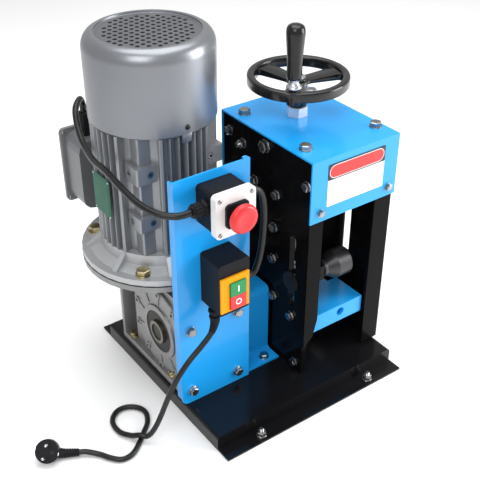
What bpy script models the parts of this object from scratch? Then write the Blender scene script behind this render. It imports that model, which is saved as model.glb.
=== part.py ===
"""A bench machine that strips the insulation from cable: a finned motor on a worm gearbox
turns a feed wheel, and a handwheel lowers a round blade and a stepped guide roller on to the
cable. Lengths are metres. X runs along the front, Y to the back. Heights are measured from
the top face of the base, and the empty named machine puts the whole on the floor."""

import math

import bmesh
import bpy
from mathutils import Matrix
from mathutils import Vector

# Clearances and sheet
GAP = 0.0003
RUN_GAP = 0.0006
SHEET = 0.003
OVERLAP = 0.001
PAST = 0.002
SMOOTH_ANGLE = math.radians(35)

# Base pan
BASE_LENGTH = 0.357
BASE_DEPTH = 0.338
BASE_HEIGHT = 0.027
BASE_TOP = 0.004
BASE_BEND = 0.006
LIP_WIDTH = 0.0274
LIP_SHEET = 0.003

# Frame of the cutting head
PLATE_LEFT = 0.193
PLATE_RIGHT = 0.357
PLATE_THICK = 0.010
PLATE_FRONT = 0.036
PLATE_BACK = 0.254
PLATE_HIGH = 0.3912
POST_WIDTH = 0.026
POST_RIGHT_WIDTH = 0.034
POST_DEPTH = 0.006
POST_CUT_OUTER = 0.056
POST_CUT_KNEE_X = 0.018
POST_CUT_KNEE = 0.072
POST_CUT_INNER = 0.103
POST_RIGHT_LOW = 0.006
SLOT_Y = 0.072
SLOT_WIDTH = 0.0146
SLOT_LOW = 0.120
SLOT_HIGH = 0.252
WINDOW_FRONT = 0.110
WINDOW_BACK = 0.205
WINDOW_LOW = 0.120
WINDOW_HIGH = 0.285
WINDOW_CORNER = 0.008
TOP_PLATE_THICK = 0.017
TOP_PLATE_FRONT = 0.060
TOP_PLATE_BACK = 0.240

# Blue cover over the head
COVER_LEFT = 0.1906
COVER_RIGHT = 0.3594
COVER_FRONT = 0.0325
COVER_BACK = 0.2575
COVER_SHEET = 0.0025
COVER_TOP = PLATE_HIGH + GAP + COVER_SHEET
COVER_LOW = 0.292

# Feed screw, handwheel and grip
SCREW_X = 0.275
SCREW_Y = 0.1735
SCREW_R = 0.010
SCREW_LOW = 0.258
SCREW_NECK_R = 0.0092
SCREW_COLLAR_R = 0.0135
SCREW_COLLAR_LONG = 0.0047
SCREW_COLLAR_LOW = PLATE_HIGH - TOP_PLATE_THICK - SCREW_COLLAR_LONG
SCREW_END_R = 0.007
NUT_FLATS = 0.030
NUT_HIGH = 0.0155
HUB_R = 0.0145
HUB_LOW = COVER_TOP + 2 * GAP + NUT_HIGH
WHEEL_R = 0.0785
RIM_RISE = 0.0364
RIM_TALL = 0.0157
RIM_LOW = HUB_LOW + RIM_RISE
RIM_HIGH = RIM_LOW + RIM_TALL
RIM_INNER_LOW_R = 0.0650
RIM_INNER_HIGH_R = 0.0670
RIM_EDGE = 0.0032
RIM_LOW_EDGE = 0.0015
WEB_R = 0.0695
WEB_INSET = 0.0006
WEB_HUB_TALL = 0.0055
WEB_RIM_TALL = 0.0110
WEB_LOW = RIM_LOW + WEB_INSET
WEB_HUB_HIGH = RIM_LOW + WEB_HUB_TALL
WEB_RIM_HIGH = RIM_LOW + WEB_RIM_TALL
WEB_HUB_R = 0.012
HUB_PROUD = 0.003
HUB_HIGH = WEB_HUB_HIGH + HUB_PROUD
SCREW_END_LONG = 0.004
SCREW_TOP = HUB_HIGH + SCREW_END_LONG
ARM_START_R = 0.025
ARM_HALF_IN = 0.012
ARM_HALF_OUT = 0.015
ARM_EASE_IN = 0.016
ARM_EASE_OUT = 0.008
WHEEL_GAP_R = 0.0674
WHEEL_GAP_STEPS = 7
GRIP_ANGLE = math.radians(225.3)
GRIP_ORBIT = 0.0682
BOSS_R = 0.0105
BOSS_DROP = 0.0055
BOSS_PROUD = 0.0004
BOSS_LOW = RIM_LOW - BOSS_DROP
BOSS_HIGH = RIM_HIGH + BOSS_PROUD
FERRULE_R = 0.0118
FERRULE_HIGH = 0.0177
# Radius of the spindle's ferrule, as a share, at each share of its height
FERRULE_SHARES = (
    (0.0, 0.55),
    (0.21, 0.97),
    (0.38, 1.0),
    (0.60, 0.68),
    (0.83, 0.58),
    (1.0, 0.72),
)
SPINDLE_R = 0.0045
GRIP_LOW = BOSS_HIGH + GAP + FERRULE_HIGH + RUN_GAP
GRIP_LONG = 0.081
GRIP_HIGH = GRIP_LOW + GRIP_LONG
SPINDLE_DEPTH = 0.016
SPINDLE_END_GAP = 0.004
SPINDLE_TOP = GRIP_HIGH - SPINDLE_DEPTH
GRIP_BORE_TOP = SPINDLE_TOP + SPINDLE_END_GAP
GRIP_R = 0.0139
# Radius of the grip, as a share, at each share of its height, from its foot to its crown
GRIP_SHARES = (
    (0.0, 0.727),
    (0.03, 0.803),
    (0.35, 0.818),
    (0.60, 0.909),
    (0.82, 1.0),
    (0.92, 0.955),
    (0.98, 0.712),
)

# Carriage that the screw moves
FRONT_LEFT = 0.254
FRONT_RIGHT = 0.301
FRONT_Y = 0.075
FRONT_STEP_Y = 0.098
FRONT_STEP_Z = 0.300
FRONT_BACK_LOW = 0.135
FRONT_LOW = 0.195
CARRIAGE_TOP = 0.340
BLOCK_LEFT = 0.2055
BLOCK_RIGHT = 0.3445
BLOCK_FRONT = 0.141
BLOCK_BACK = 0.213
BLOCK_LOW = 0.227
BORE_R = 0.0115
LEAD_NUT_R = 0.0165
LEAD_NUT_LOW = 0.300
CHEEK_LEFT = 0.238
CHEEK_RIGHT = 0.312
CHEEK_THICK = 0.012
CHEEK_FRONT = 0.147
CHEEK_BACK = 0.207
CHEEK_LOW = 0.160
BRACKET_LEFT = 0.241
BRACKET_RIGHT = 0.311
BRACKET_THICK = 0.009
BRACKET_BACK = 0.106
BRACKET_FRONT = 0.060
BRACKET_LOW = 0.156
BRACKET_HIGH = 0.182
BRACKET_PLATE_HIGH = 0.203

# Blade on its shaft
BLADE_Z = 0.182
BLADE_R = 0.040
BLADE_THICK = 0.003
BLADE_BEVEL = 0.006
BLADE_EDGE = 0.0004
BLADE_SHAFT_R = 0.010
BLADE_SHAFT_LEFT = 0.2365
BLADE_SHAFT_RIGHT = 0.3135
SHOULDER_R = 0.016
SHOULDER_LONG = 0.008
CLAMP_R = 0.017
CLAMP_LONG = 0.010
BLADE_BEARING_R = 0.016

# Stepped guide roller on its axle
ROLLER_Z = 0.169
ROLLER_LEFT = 0.252
ROLLER_CONE_LEFT = 0.258
ROLLER_CONE_RIGHT = 0.274
ROLLER_RIGHT = 0.300
ROLLER_SMALL_R = 0.014
ROLLER_R = 0.024
ROLLER_EDGE = 0.001
AXLE_R = 0.007
AXLE_COLLAR_R = 0.0175
AXLE_COLLAR_LONG = 0.003
AXLE_END = 0.002
AXLE_SIDE_GAP = 0.0008

# Guide rails
RAIL_THICK = 0.012
RAIL_LOW = 0.060
RAIL_HIGH = 0.330
RAIL_LEFT_FRONT = 0.108
RAIL_RIGHT_FRONT = 0.1235
RAIL_FRONT_BACK = 0.140
RAIL_REAR_FRONT = 0.214
RAIL_REAR_BACK = 0.226

# Feed guide block
GUIDE_RIGHT = 0.320
GUIDE_FRONT = 0.0423
GUIDE_STEP = 0.106
GUIDE_BACK = 0.150
GUIDE_NOSE_LEFT = 0.250
GUIDE_NOSE_RIGHT = 0.300
GUIDE_LOW = 0.073
GUIDE_HIGH = 0.104
GUIDE_BEVEL = 0.002
CABLE_X = 0.2743
CABLE_Z = 0.091
CABLE_HOLE_R = 0.0075

# Main shaft and feed wheel
OUTPUT_Y = 0.177
OUTPUT_Z = 0.086
SHAFT_R = 0.014
SHAFT_LEFT = 0.006
SHAFT_RIGHT = 0.3645
FEED_R = 0.020
FEED_GROOVE = 0.003
FEED_GROOVE_WIDE = 0.007
FEED_LEFT = 0.257
FEED_RIGHT = 0.293
FEED_TEETH = 24
FEED_TOOTH = 0.0012
BEARING_R = 0.026
BEARING_FLANGE_R = 0.032
BEARING_LONG = 0.018
BEARING_FLANGE = 0.004

# Worm gearbox
BOX_LEFT = 0.0155
BOX_RIGHT = 0.1125
BOX_FRONT = 0.0912
BOX_BACK = 0.263
BOX_HIGH = 0.172
BOX_CORNER = 0.020
WORM_X = 0.064
WORM_Y = 0.252
WORM_TUBE_R = 0.038
WHEEL_ROOM_R = 0.0668
WHEEL_WALL = 0.008
WORM_ROOM_R = 0.0215
COVER_R = 0.0770
COVER_PLATE = 0.0045
COVER_RING_R = 0.046
COVER_RING_PROUD = 0.0075
COVER_RIB_R = 0.060
COVER_SPIGOT_R = 0.0640
COVER_SPIGOT = 0.005
COVER_BORE_R = 0.0365
SEAL_R = 0.0360
SEAL_BORE_R = 0.0205
SEAL_THICK = 0.007
HOLLOW_R = 0.0195
HOLLOW_LEFT = 0.0044
HOLLOW_RIGHT = 0.124
HOLLOW_BORE_R = 0.0144
MODULE = 0.004
GEAR_TEETH = 30
GEAR_FACE = 0.020
GEAR_BORE_R = 0.0199
GEAR_ADDENDUM = 0.0034
GEAR_DEDENDUM = 0.0046
GEAR_HUB_R = 0.030
GEAR_HUB_LONG = 0.034
TOOTH_PITCH_SHARE = 0.44
TOOTH_TIP_SHARE = 0.22
TOOTH_ROOT_SHARE = 0.66
WORM_PITCH_R = 0.015
WORM_ADDENDUM = 0.0034
WORM_DEDENDUM = 0.0046
WORM_TURNS = 4
WORM_STEPS = 16
GEAR_LAYER_SHARES = (-0.5, 0, 0.5)
WORM_END_R = 0.0098
WORM_LOW = 0.010
WORM_HIGH = 0.192
FLANGE_R = 0.125
INPUT_FLANGE_LOW = 0.1855
INPUT_FLANGE_HIGH = 0.196
INPUT_NECK_R = 0.060
INPUT_BORE_R = 0.0215
LUG_R = 0.009

# Motor
MOTOR_FLANGE_HIGH = 0.2068
MOTOR_CONE_HIGH = 0.230
MOTOR_CONE_R = 0.092
MOTOR_BORE_R = 0.016
MOTOR_RIBS = 8
MOTOR_RIB_THICK = 0.008
MOTOR_RIB_END_R = 0.118
STATOR_LOW = 0.2303
STATOR_HIGH = 0.425
STATOR_CORE_R = 0.080
STATOR_FIN_R = 0.0945
STATOR_BORE_R = 0.048
STATOR_FINS = 36
FIN_THICK = 0.0030
PAD_OUT = 0.103
PAD_HALF_WIDE = 0.010
PAD_HALF_HIGH = 0.009
PAD_LOW_Z = 0.291
PAD_HIGH_Z = 0.370
ROTOR_R = 0.0472
ROTOR_LOW = 0.2405
ROTOR_HIGH = 0.410
ROTOR_SHAFT_R = 0.0095
ROTOR_SHAFT_LOW = 0.155
ROTOR_SHAFT_HIGH = 0.505
REAR_SHIELD_R = 0.0925
REAR_SHIELD_HIGH = 0.437
REAR_BORE_R = 0.0120
FAN_R = 0.078
FAN_HUB_R = 0.020
FAN_LOW = 0.445
FAN_HIGH = 0.500
FAN_DISC = 0.004
FAN_BLADES = 7
FAN_BLADE_THICK = 0.0035
FAN_COVER_R = 0.0957
FAN_COVER_LOW = 0.428
FAN_COVER_SHOULDER = 0.528
FAN_COVER_TOP = 0.553
FAN_COVER_TOP_R = 0.078
FAN_COVER_SHEET = 0.0022
GRILLE_R = 0.064
GRILLE_PITCH = 0.0170
GRILLE_HOLE_R = 0.0060

# Terminal box on the back of the motor
LID_LEFT = -0.020
LID_RIGHT = 0.148
LID_LOW = 0.225
LID_HIGH = 0.358
LID_FRONT = 0.4083
LID_BACK = 0.4165
LID_CORNER = 0.022
TERMINAL_INSET = 0.006
TERMINAL_WALL = 0.004
TERMINAL_FRONT = 0.3475
TERMINAL_FOOT_BACK = 0.356
GLAND_X = 0.014
GLAND_Y = 0.385
GLAND_R = 0.0095
GLAND_NUT_R = 0.0115
GLAND_HIGH = 0.038
GLAND_BASE = 0.010
GLAND_TOP = LID_HIGH - TERMINAL_INSET + GLAND_HIGH + GAP

# Blue sheet parts beside the gearbox
PANEL_LEFT = -0.006
PANEL_RIGHT = 0.122
PANEL_FRONT = 0.0877
PANEL_HIGH = 0.402
PANEL_SHEET = 0.003
PANEL_RETURN = 0.014
PANEL_CORNER = 0.012
PANEL_TAB = 0.012
PANEL_TAB_HIGH = 0.406
GUARD_LEFT = 0.1246
GUARD_RIGHT = 0.1885
GUARD_FOOT_FRONT = 0.0926
GUARD_FRONT = 0.124
GUARD_BACK = 0.232
GUARD_FOOT_BACK = 0.262
GUARD_HIGH = 0.131
GUARD_BEND = 0.008

# Emergency stop
STOP_X = 0.061
STOP_Z = 0.358
STOP_BASE_HALF = 0.031
STOP_BASE_FRONT = 0.0483
STOP_COVER_HALF = 0.033
STOP_COVER_FRONT = 0.036
STOP_CORNER = 0.006
STOP_WALL = 0.003
STOP_HOLE_R = 0.0115
COLLAR_HALF = 0.0185
COLLAR_FRONT = 0.0315
PLUNGER_R = 0.0100
PLUNGER_BACK = 0.060
PLUNGER_FRONT = 0.0262
PLUNGER_HEAD_R = 0.0145
PLUNGER_HEAD_BACK = 0.0245
MUSHROOM_R = 0.020
MUSHROOM_FRONT = 0.012
MUSHROOM_BACK = 0.0235
MUSHROOM_DISH_R = 0.012
MUSHROOM_DISH = 0.0012
STOP_TRAVEL = 0.005
SIDE_GLAND_R = 0.0090
SIDE_GLAND_LEFT = 0.006
SIDE_GLAND_RIGHT = 0.101
SIDE_GLAND_Y = 0.062
SIDE_GLAND_LEFT_Z = 0.366
SIDE_GLAND_RIGHT_Z = 0.366

# Mains switch
SWITCH_LEFT = 0.034
SWITCH_RIGHT = 0.087
SWITCH_LOW = 0.189
SWITCH_HIGH = 0.277
SWITCH_FRONT = 0.0400
SWITCH_CORNER = 0.004
BEZEL_LEFT = 0.035
BEZEL_RIGHT = 0.084
BEZEL_LOW = 0.196
BEZEL_HIGH = 0.255
BEZEL_FRONT = 0.0362
BUTTON_LEFT = 0.0500
BUTTON_RIGHT = 0.0770
BUTTON_LOW = 0.199
BUTTON_SPLIT = 0.2215
BUTTON_HIGH = 0.2445
BUTTON_FRONT = 0.0335
BUTTON_BACK = 0.0480
POCKET_BACK = 0.056
BUTTON_SIDE_GAP = 0.0006

# Cables and the mains cord
CABLE_R = 0.005
CORD_R = 0.00425
CORD_GLAND_X = 0.040
CORD_GLAND_Y = 0.062
CORD_GLAND_HIGH = 0.1887
CORD_GLAND_LOW = 0.177
CORD_GLAND_R = 0.0095
CORD_RELIEF_R = 0.0062
PLUG_X = -0.2175
PLUG_Y = 0.133
PLUG_R = 0.018
PLUG_THICK = 0.016
PLUG_ELEVATION = math.radians(42)
PLUG_AZIMUTH = math.radians(-35.7)
PLUG_NECK_R = 0.0085
PLUG_EDGE = 0.002
RELIEF_X = -0.179
RELIEF_LONG = 0.022
RELIEF_FOOT_R = 0.0075
SWITCH_GLAND_LONG = 0.012
RELIEF_Y = 0.1155
PIN_R = 0.0024
PIN_LONG = 0.019
PIN_APART = 0.0095
CORD_FLOOR_Z = CORD_R + GAP - BASE_HEIGHT
RELIEF_TURN = math.radians(-30)
RELIEF_Z = RELIEF_FOOT_R + GAP - BASE_HEIGHT
WORM_TOP_R = 0.016
WORM_TOP_LOW = 0.120
WORM_SOCKET_R = 0.0098
WORM_SOCKET_LOW = 0.152
WORM_ROOM_LOW = 0.006

# Facets round each turned piece
FINE = 38
ROUND = 28
SMALL = 16
TINY = 12
CORNER_STEPS = 3
SPLINE_PARTS = 12

# Cables leave their glands straight for this long, and have a point at each step
STRAIGHT = 0.013
CORD_STEP = 0.0128
CABLE_STEP = 0.0125

# Route of the mains cord, from the switch to the plug
MAINS_ROUTE = (
    (CORD_GLAND_X, CORD_GLAND_Y, CORD_GLAND_LOW - GAP),
    (CORD_GLAND_X, CORD_GLAND_Y, CORD_GLAND_LOW - STRAIGHT),
    (0.031, 0.058, 0.151),
    (0.010, 0.053, 0.139),
    (-0.014, 0.051, 0.123),
    (-0.034, 0.054, 0.096),
    (-0.047, 0.060, 0.063),
    (-0.059, 0.065, 0.028),
    (-0.070, 0.069, 0.003),
    (-0.079, 0.076, CORD_FLOOR_Z + 0.0105),
    (-0.087, 0.085, CORD_FLOOR_Z + 0.0098),
    (-0.096, 0.099, CORD_FLOOR_Z + 0.003),
    (-0.105, 0.120, CORD_FLOOR_Z),
    (-0.102, 0.146, CORD_FLOOR_Z),
    (-0.083, 0.161, CORD_FLOOR_Z),
    (-0.061, 0.155, CORD_FLOOR_Z),
    (-0.050, 0.135, CORD_FLOOR_Z),
    (-0.058, 0.112, CORD_FLOOR_Z),
    (-0.075, 0.095, CORD_FLOOR_Z),
    (-0.094, 0.078, CORD_FLOOR_Z),
    (-0.112, 0.066, CORD_FLOOR_Z),
    (-0.129, 0.066, CORD_FLOOR_Z),
    (-0.142, 0.079, CORD_FLOOR_Z),
    (-0.152, 0.095, CORD_FLOOR_Z),
    (
        RELIEF_X + STRAIGHT * math.cos(RELIEF_TURN),
        RELIEF_Y + STRAIGHT * math.sin(RELIEF_TURN),
        RELIEF_Z,
    ),
    (
        RELIEF_X + GAP * math.cos(RELIEF_TURN),
        RELIEF_Y + GAP * math.sin(RELIEF_TURN),
        RELIEF_Z,
    ),
)

# Routes of the two captive cables
MOTOR_CABLE_ROUTE = (
    (GLAND_X, GLAND_Y, GLAND_TOP + GAP),
    (GLAND_X, GLAND_Y, GLAND_TOP + GAP + STRAIGHT),
    (0.008, 0.380, 0.414),
    (-0.010, 0.360, 0.408),
    (-0.022, 0.330, 0.388),
    (-0.030, 0.295, 0.376),
    (-0.040, 0.250, 0.377),
    (-0.045, 0.200, 0.382),
    (-0.047, 0.155, 0.378),
    (-0.044, 0.115, 0.371),
    (-0.034, 0.084, 0.367),
    (-0.018, 0.066, SIDE_GLAND_LEFT_Z),
    (SIDE_GLAND_LEFT - STRAIGHT, SIDE_GLAND_Y, SIDE_GLAND_LEFT_Z),
    (SIDE_GLAND_LEFT - GAP, SIDE_GLAND_Y, SIDE_GLAND_LEFT_Z),
)
LINK_CABLE_ROUTE = (
    (SIDE_GLAND_RIGHT + GAP, SIDE_GLAND_Y, SIDE_GLAND_RIGHT_Z),
    (SIDE_GLAND_RIGHT + STRAIGHT, SIDE_GLAND_Y, SIDE_GLAND_RIGHT_Z),
    (0.125, 0.063, 0.352),
    (0.130, 0.064, 0.322),
    (0.1305, 0.066, 0.288),
    (0.127, 0.066, 0.258),
    (0.120, 0.066, 0.232),
    (SWITCH_RIGHT + SWITCH_GLAND_LONG + STRAIGHT, 0.066, 0.221),
    (SWITCH_RIGHT + SWITCH_GLAND_LONG + GAP, 0.066, 0.221),
)

# Finishes: colour, roughness and metallic share
BLUE = ((0.035, 0.33, 0.86), 0.28, 0.0)
BLACK = ((0.012, 0.012, 0.014), 0.22, 0.0)
SILVER = ((0.56, 0.57, 0.58), 0.42, 0.85)
STEEL = ((0.42, 0.42, 0.43), 0.30, 1.0)
ZINC = ((0.70, 0.71, 0.73), 0.25, 1.0)
BRONZE = ((0.55, 0.36, 0.14), 0.35, 1.0)
RUBBER = ((0.016, 0.016, 0.017), 0.55, 0.0)
PLASTIC = ((0.015, 0.015, 0.018), 0.40, 0.0)
WHITE = ((0.78, 0.78, 0.76), 0.40, 0.0)
YELLOW = ((0.85, 0.56, 0.03), 0.40, 0.0)
RED = ((0.75, 0.03, 0.03), 0.30, 0.0)
GREEN = ((0.03, 0.48, 0.12), 0.35, 0.0)
BROWN = ((0.14, 0.06, 0.03), 0.60, 0.0)

MACHINE = "machine"


def clear_scene():
    for obj in list(bpy.data.objects):
        bpy.data.objects.remove(obj, do_unlink=True)


def new_material(name, colour, roughness, metallic):
    made = bpy.data.materials.new(name)
    made.use_nodes = True
    shader = made.node_tree.nodes["Principled BSDF"]
    shader.inputs["Base Color"].default_value = (*colour, 1)
    shader.inputs["Roughness"].default_value = roughness
    shader.inputs["Metallic"].default_value = metallic
    made.diffuse_color = (*colour, 1)
    return made


def place_of(obj):
    """Where an object stands in the machine's frame."""
    place = Vector((0, 0, 0))
    while obj is not None and obj.name != MACHINE:
        place = place + obj.location
        obj = obj.parent
    return place


def joint_empty(name, place, parent):
    """An empty on a joint's axis, which carries the pieces that move with it."""
    made = bpy.data.objects.new(name, None)
    bpy.context.scene.collection.objects.link(made)
    made.parent = parent
    made.location = Vector(place) - place_of(parent)
    return made


def put(name, bm, finish, parent, origin=None):
    """One piece, from a mesh in the machine's frame, with its own origin and material."""
    origin = place_of(parent) if origin is None else Vector(origin)
    bmesh.ops.recalc_face_normals(bm, faces=bm.faces)
    bmesh.ops.translate(bm, verts=bm.verts, vec=-origin)
    mesh = bpy.data.meshes.new(name)
    bm.to_mesh(mesh)
    bm.free()
    mesh.shade_smooth()
    mesh.set_sharp_from_angle(angle=SMOOTH_ANGLE)
    obj = bpy.data.objects.new(name, mesh)
    bpy.context.scene.collection.objects.link(obj)
    obj.parent = parent
    obj.location = origin - place_of(parent)
    mesh.materials.append(new_material(name + "_finish", *finish))
    return obj


def combine(obj, bm, operation):
    """A Boolean of the piece with a hidden shape that is made in the machine's frame."""
    name = f"{obj.name}_{operation.lower()}_{len(obj.modifiers)}"
    shape = put(name, bm, STEEL, obj.parent)
    shape.hide_render = True
    shape.display_type = "WIRE"
    modifier = obj.modifiers.new(name, "BOOLEAN")
    modifier.object = shape
    modifier.operation = operation
    modifier.solver = "EXACT"
    return obj


def cut(obj, *shapes):
    for bm in shapes:
        combine(obj, bm, "DIFFERENCE")
    return obj


def fuse(obj, *shapes):
    for bm in shapes:
        combine(obj, bm, "UNION")
    return obj


def shells(*shapes):
    """Shapes that stand apart from one another, in one mesh."""
    whole = bmesh.new()
    for bm in shapes:
        mesh = bpy.data.meshes.new("shell")
        bm.to_mesh(mesh)
        bm.free()
        whole.from_mesh(mesh)
        bpy.data.meshes.remove(mesh)
    return whole


def lifted(point, axis, along):
    """A point of a flat outline, at a distance along the outline's own axis."""
    first, second = point
    return {
        "X": (along, first, second),
        "Y": (first, along, second),
        "Z": (first, second, along),
    }[axis]


def slab(outline, axis, low, high):
    """A flat outline made thick: its points are (y, z), (x, z) or (x, y)."""
    bm = bmesh.new()
    near = [bm.verts.new(lifted(point, axis, low)) for point in outline]
    far = [bm.verts.new(lifted(point, axis, high)) for point in outline]
    bm.faces.new(near)
    bm.faces.new(far)
    for i in range(len(outline)):
        j = (i + 1) % len(outline)
        bm.faces.new((near[i], near[j], far[j], far[i]))
    bmesh.ops.recalc_face_normals(bm, faces=bm.faces)
    return bm


def rectangle(low_a, high_a, low_b, high_b):
    return [(low_a, low_b), (high_a, low_b), (high_a, high_b), (low_a, high_b)]


def box(low, high):
    return slab(rectangle(low[0], high[0], low[1], high[1]), "Z", low[2], high[2])


def arc(centre, radius, first, last, steps):
    """Points of an arc, both ends among them."""
    points = []
    for i in range(steps + 1):
        angle = first + (last - first) * i / steps
        points.append((centre[0] + radius * math.cos(angle), centre[1] + radius * math.sin(angle)))
    return points


def rounded(low_a, high_a, low_b, high_b, radius, steps=CORNER_STEPS):
    """A rectangle with round corners."""
    quarter = math.pi / 2
    corners = (
        (high_a - radius, high_b - radius),
        (low_a + radius, high_b - radius),
        (low_a + radius, low_b + radius),
        (high_a - radius, low_b + radius),
    )
    points = []
    for i, corner in enumerate(corners):
        points += arc(corner, radius, quarter * i, quarter * (i + 1), steps)
    return points


def circle(centre, radius, steps, phase=0):
    return arc(centre, radius, phase, phase + 2 * math.pi, steps)[:-1]


def along_axis(axis):
    """The turn that lays the Z axis along the named one."""
    if axis == "X":
        return Matrix.Rotation(math.pi / 2, 4, "Y")
    if axis == "Y":
        return Matrix.Rotation(-math.pi / 2, 4, "X")
    return Matrix.Identity(4)


def join_rings(bm, one, other):
    """Faces between two rings of points, either of which may be a single point."""
    steps = max(len(one), len(other))
    for i in range(steps):
        j = (i + 1) % steps
        if len(one) == 1:
            bm.faces.new((one[0], other[i], other[j]))
        elif len(other) == 1:
            bm.faces.new((one[i], one[j], other[0]))
        else:
            bm.faces.new((one[i], one[j], other[j], other[i]))


def turned(profile, centre, axis="Z", steps=ROUND):
    """A turned piece. Its profile is (radius, height) points: it starts and ends on the
    axis, or else it closes into a ring."""
    bm = bmesh.new()
    rings = []
    for radius, along in profile:
        flat = circle((0, 0), radius, steps) if radius else [(0, 0)]
        rings.append([bm.verts.new((x, y, along)) for x, y in flat])
    pairs = list(zip(rings, rings[1:]))
    if profile[0][0]:
        pairs.append((rings[-1], rings[0]))
    for one, other in pairs:
        join_rings(bm, one, other)
    bmesh.ops.recalc_face_normals(bm, faces=bm.faces)
    matrix = Matrix.Translation(centre) @ along_axis(axis)
    bmesh.ops.transform(bm, matrix=matrix, verts=bm.verts)
    return bm


def rod(radius, low, high, centre, axis="Z", steps=ROUND):
    return turned([(0, low), (radius, low), (radius, high), (0, high)], centre, axis, steps)


def ring(inner, outer, low, high, centre, axis="Z", steps=ROUND):
    profile = [(inner, low), (outer, low), (outer, high), (inner, high)]
    return turned(profile, centre, axis, steps)


def tapered(start, end, across, up, wide, high):
    """A straight bar between two points, with its width and height at each end."""
    bm = bmesh.new()
    rings = []
    for i, point in enumerate((start, end)):
        half = Vector(across) * (wide[i] / 2)
        rise = Vector(up) * (high[i] / 2)
        corners = (half + rise, rise - half, -half - rise, half - rise)
        rings.append([bm.verts.new(Vector(point) + corner) for corner in corners])
    join_rings(bm, rings[0], rings[1])
    bm.faces.new(rings[0])
    bm.faces.new(rings[1])
    bmesh.ops.recalc_face_normals(bm, faces=bm.faces)
    return bm


def spoke_direction(angle):
    return Vector((math.cos(angle), math.sin(angle), 0))


def smooth_points(route, step):
    """Points at even steps along a smooth curve through a route's own points."""
    points = [Vector(point) for point in route]
    points = [2 * points[0] - points[1], *points, 2 * points[-1] - points[-2]]
    dense = []
    for a, b, c, d in zip(points, points[1:], points[2:], points[3:]):
        for i in range(SPLINE_PARTS):
            t = i / SPLINE_PARTS
            cubic = (3 * b - 3 * c + d - a) * t**3
            square = (2 * a - 5 * b + 4 * c - d) * t**2
            dense.append((cubic + square + (c - a) * t) / 2 + b)
    dense.append(points[-2])
    return even_points(dense, step)


def even_points(dense, step):
    lengths = [0]
    for one, other in zip(dense, dense[1:]):
        lengths.append(lengths[-1] + (other - one).length)
    count = max(2, round(lengths[-1] / step))
    even = []
    index = 0
    for i in range(count + 1):
        target = lengths[-1] * i / count
        while index < len(dense) - 2 and lengths[index + 1] < target:
            index += 1
        run = lengths[index + 1] - lengths[index]
        even.append(dense[index].lerp(dense[index + 1], (target - lengths[index]) / run))
    return even


def tube(name, route, radius, step, sides, parent):
    """A cable: a round bevel along its smooth route."""
    curve = bpy.data.curves.new(name, "CURVE")
    curve.dimensions = "3D"
    curve.bevel_depth = radius
    curve.bevel_resolution = sides
    curve.use_fill_caps = True
    points = smooth_points(route, step)
    spline = curve.splines.new("POLY")
    spline.points.add(len(points) - 1)
    for target, point in zip(spline.points, points):
        target.co = (*point, 1)
    curve.materials.append(new_material(name + "_finish", *RUBBER))
    obj = bpy.data.objects.new(name, curve)
    bpy.context.scene.collection.objects.link(obj)
    obj.parent = parent
    return obj


def base_pan(machine):
    corners = arc((BASE_LENGTH - BASE_BEND, -BASE_BEND), BASE_BEND, 0, math.pi / 2, CORNER_STEPS)
    corners += arc((BASE_BEND, -BASE_BEND), BASE_BEND, math.pi / 2, math.pi, CORNER_STEPS)
    outline = [(BASE_LENGTH, -BASE_HEIGHT), *corners, (0, -BASE_HEIGHT)]
    pan = put("base_pan", slab(outline, "Y", 0, BASE_DEPTH), BLACK, machine)
    low = (SHEET, SHEET, -BASE_HEIGHT - PAST)
    high = (BASE_LENGTH - SHEET, BASE_DEPTH - SHEET, -BASE_TOP)
    cut(pan, box(low, high))
    lip_top = -BASE_HEIGHT + LIP_SHEET
    front = box((0, -LIP_WIDTH, -BASE_HEIGHT), (BASE_LENGTH, OVERLAP, lip_top))
    back_far = BASE_DEPTH + LIP_WIDTH
    back = box((0, BASE_DEPTH - OVERLAP, -BASE_HEIGHT), (BASE_LENGTH, back_far, lip_top))
    fuse(pan, shells(front, back))


def slot_outline():
    half = SLOT_WIDTH / 2
    return rounded(SLOT_Y - half, SLOT_Y + half, SLOT_LOW, SLOT_HIGH, half, CORNER_STEPS + 1)


def shaft_hole(low, high):
    """The hole for the main bearing, through a side plate."""
    hole = circle((OUTPUT_Y, OUTPUT_Z), BEARING_R + GAP, ROUND)
    return slab(hole, "X", low, high)


def left_side_plate(machine):
    outer = PLATE_LEFT
    inner = PLATE_LEFT + PLATE_THICK
    outline = rectangle(PLATE_FRONT + POST_DEPTH - PAST, PLATE_BACK, GAP, PLATE_HIGH)
    plate = put("left_side_plate", slab(outline, "X", outer, inner), BLACK, machine)
    post = (
        (outer, POST_CUT_OUTER),
        (outer + POST_CUT_KNEE_X, POST_CUT_KNEE),
        (outer + POST_WIDTH, POST_CUT_INNER),
        (outer + POST_WIDTH, PLATE_HIGH),
        (outer, PLATE_HIGH),
    )
    fuse(plate, slab(post, "Y", PLATE_FRONT, PLATE_FRONT + POST_DEPTH))
    low = (inner - OVERLAP, RAIL_REAR_FRONT, RAIL_LOW)
    fuse(plate, box(low, (inner + RAIL_THICK, RAIL_REAR_BACK, RAIL_HIGH)))
    slot = slab(slot_outline(), "X", outer - PAST, inner + PAST)
    cut(plate, shells(slot, shaft_hole(outer - PAST, inner + PAST)))


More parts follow.
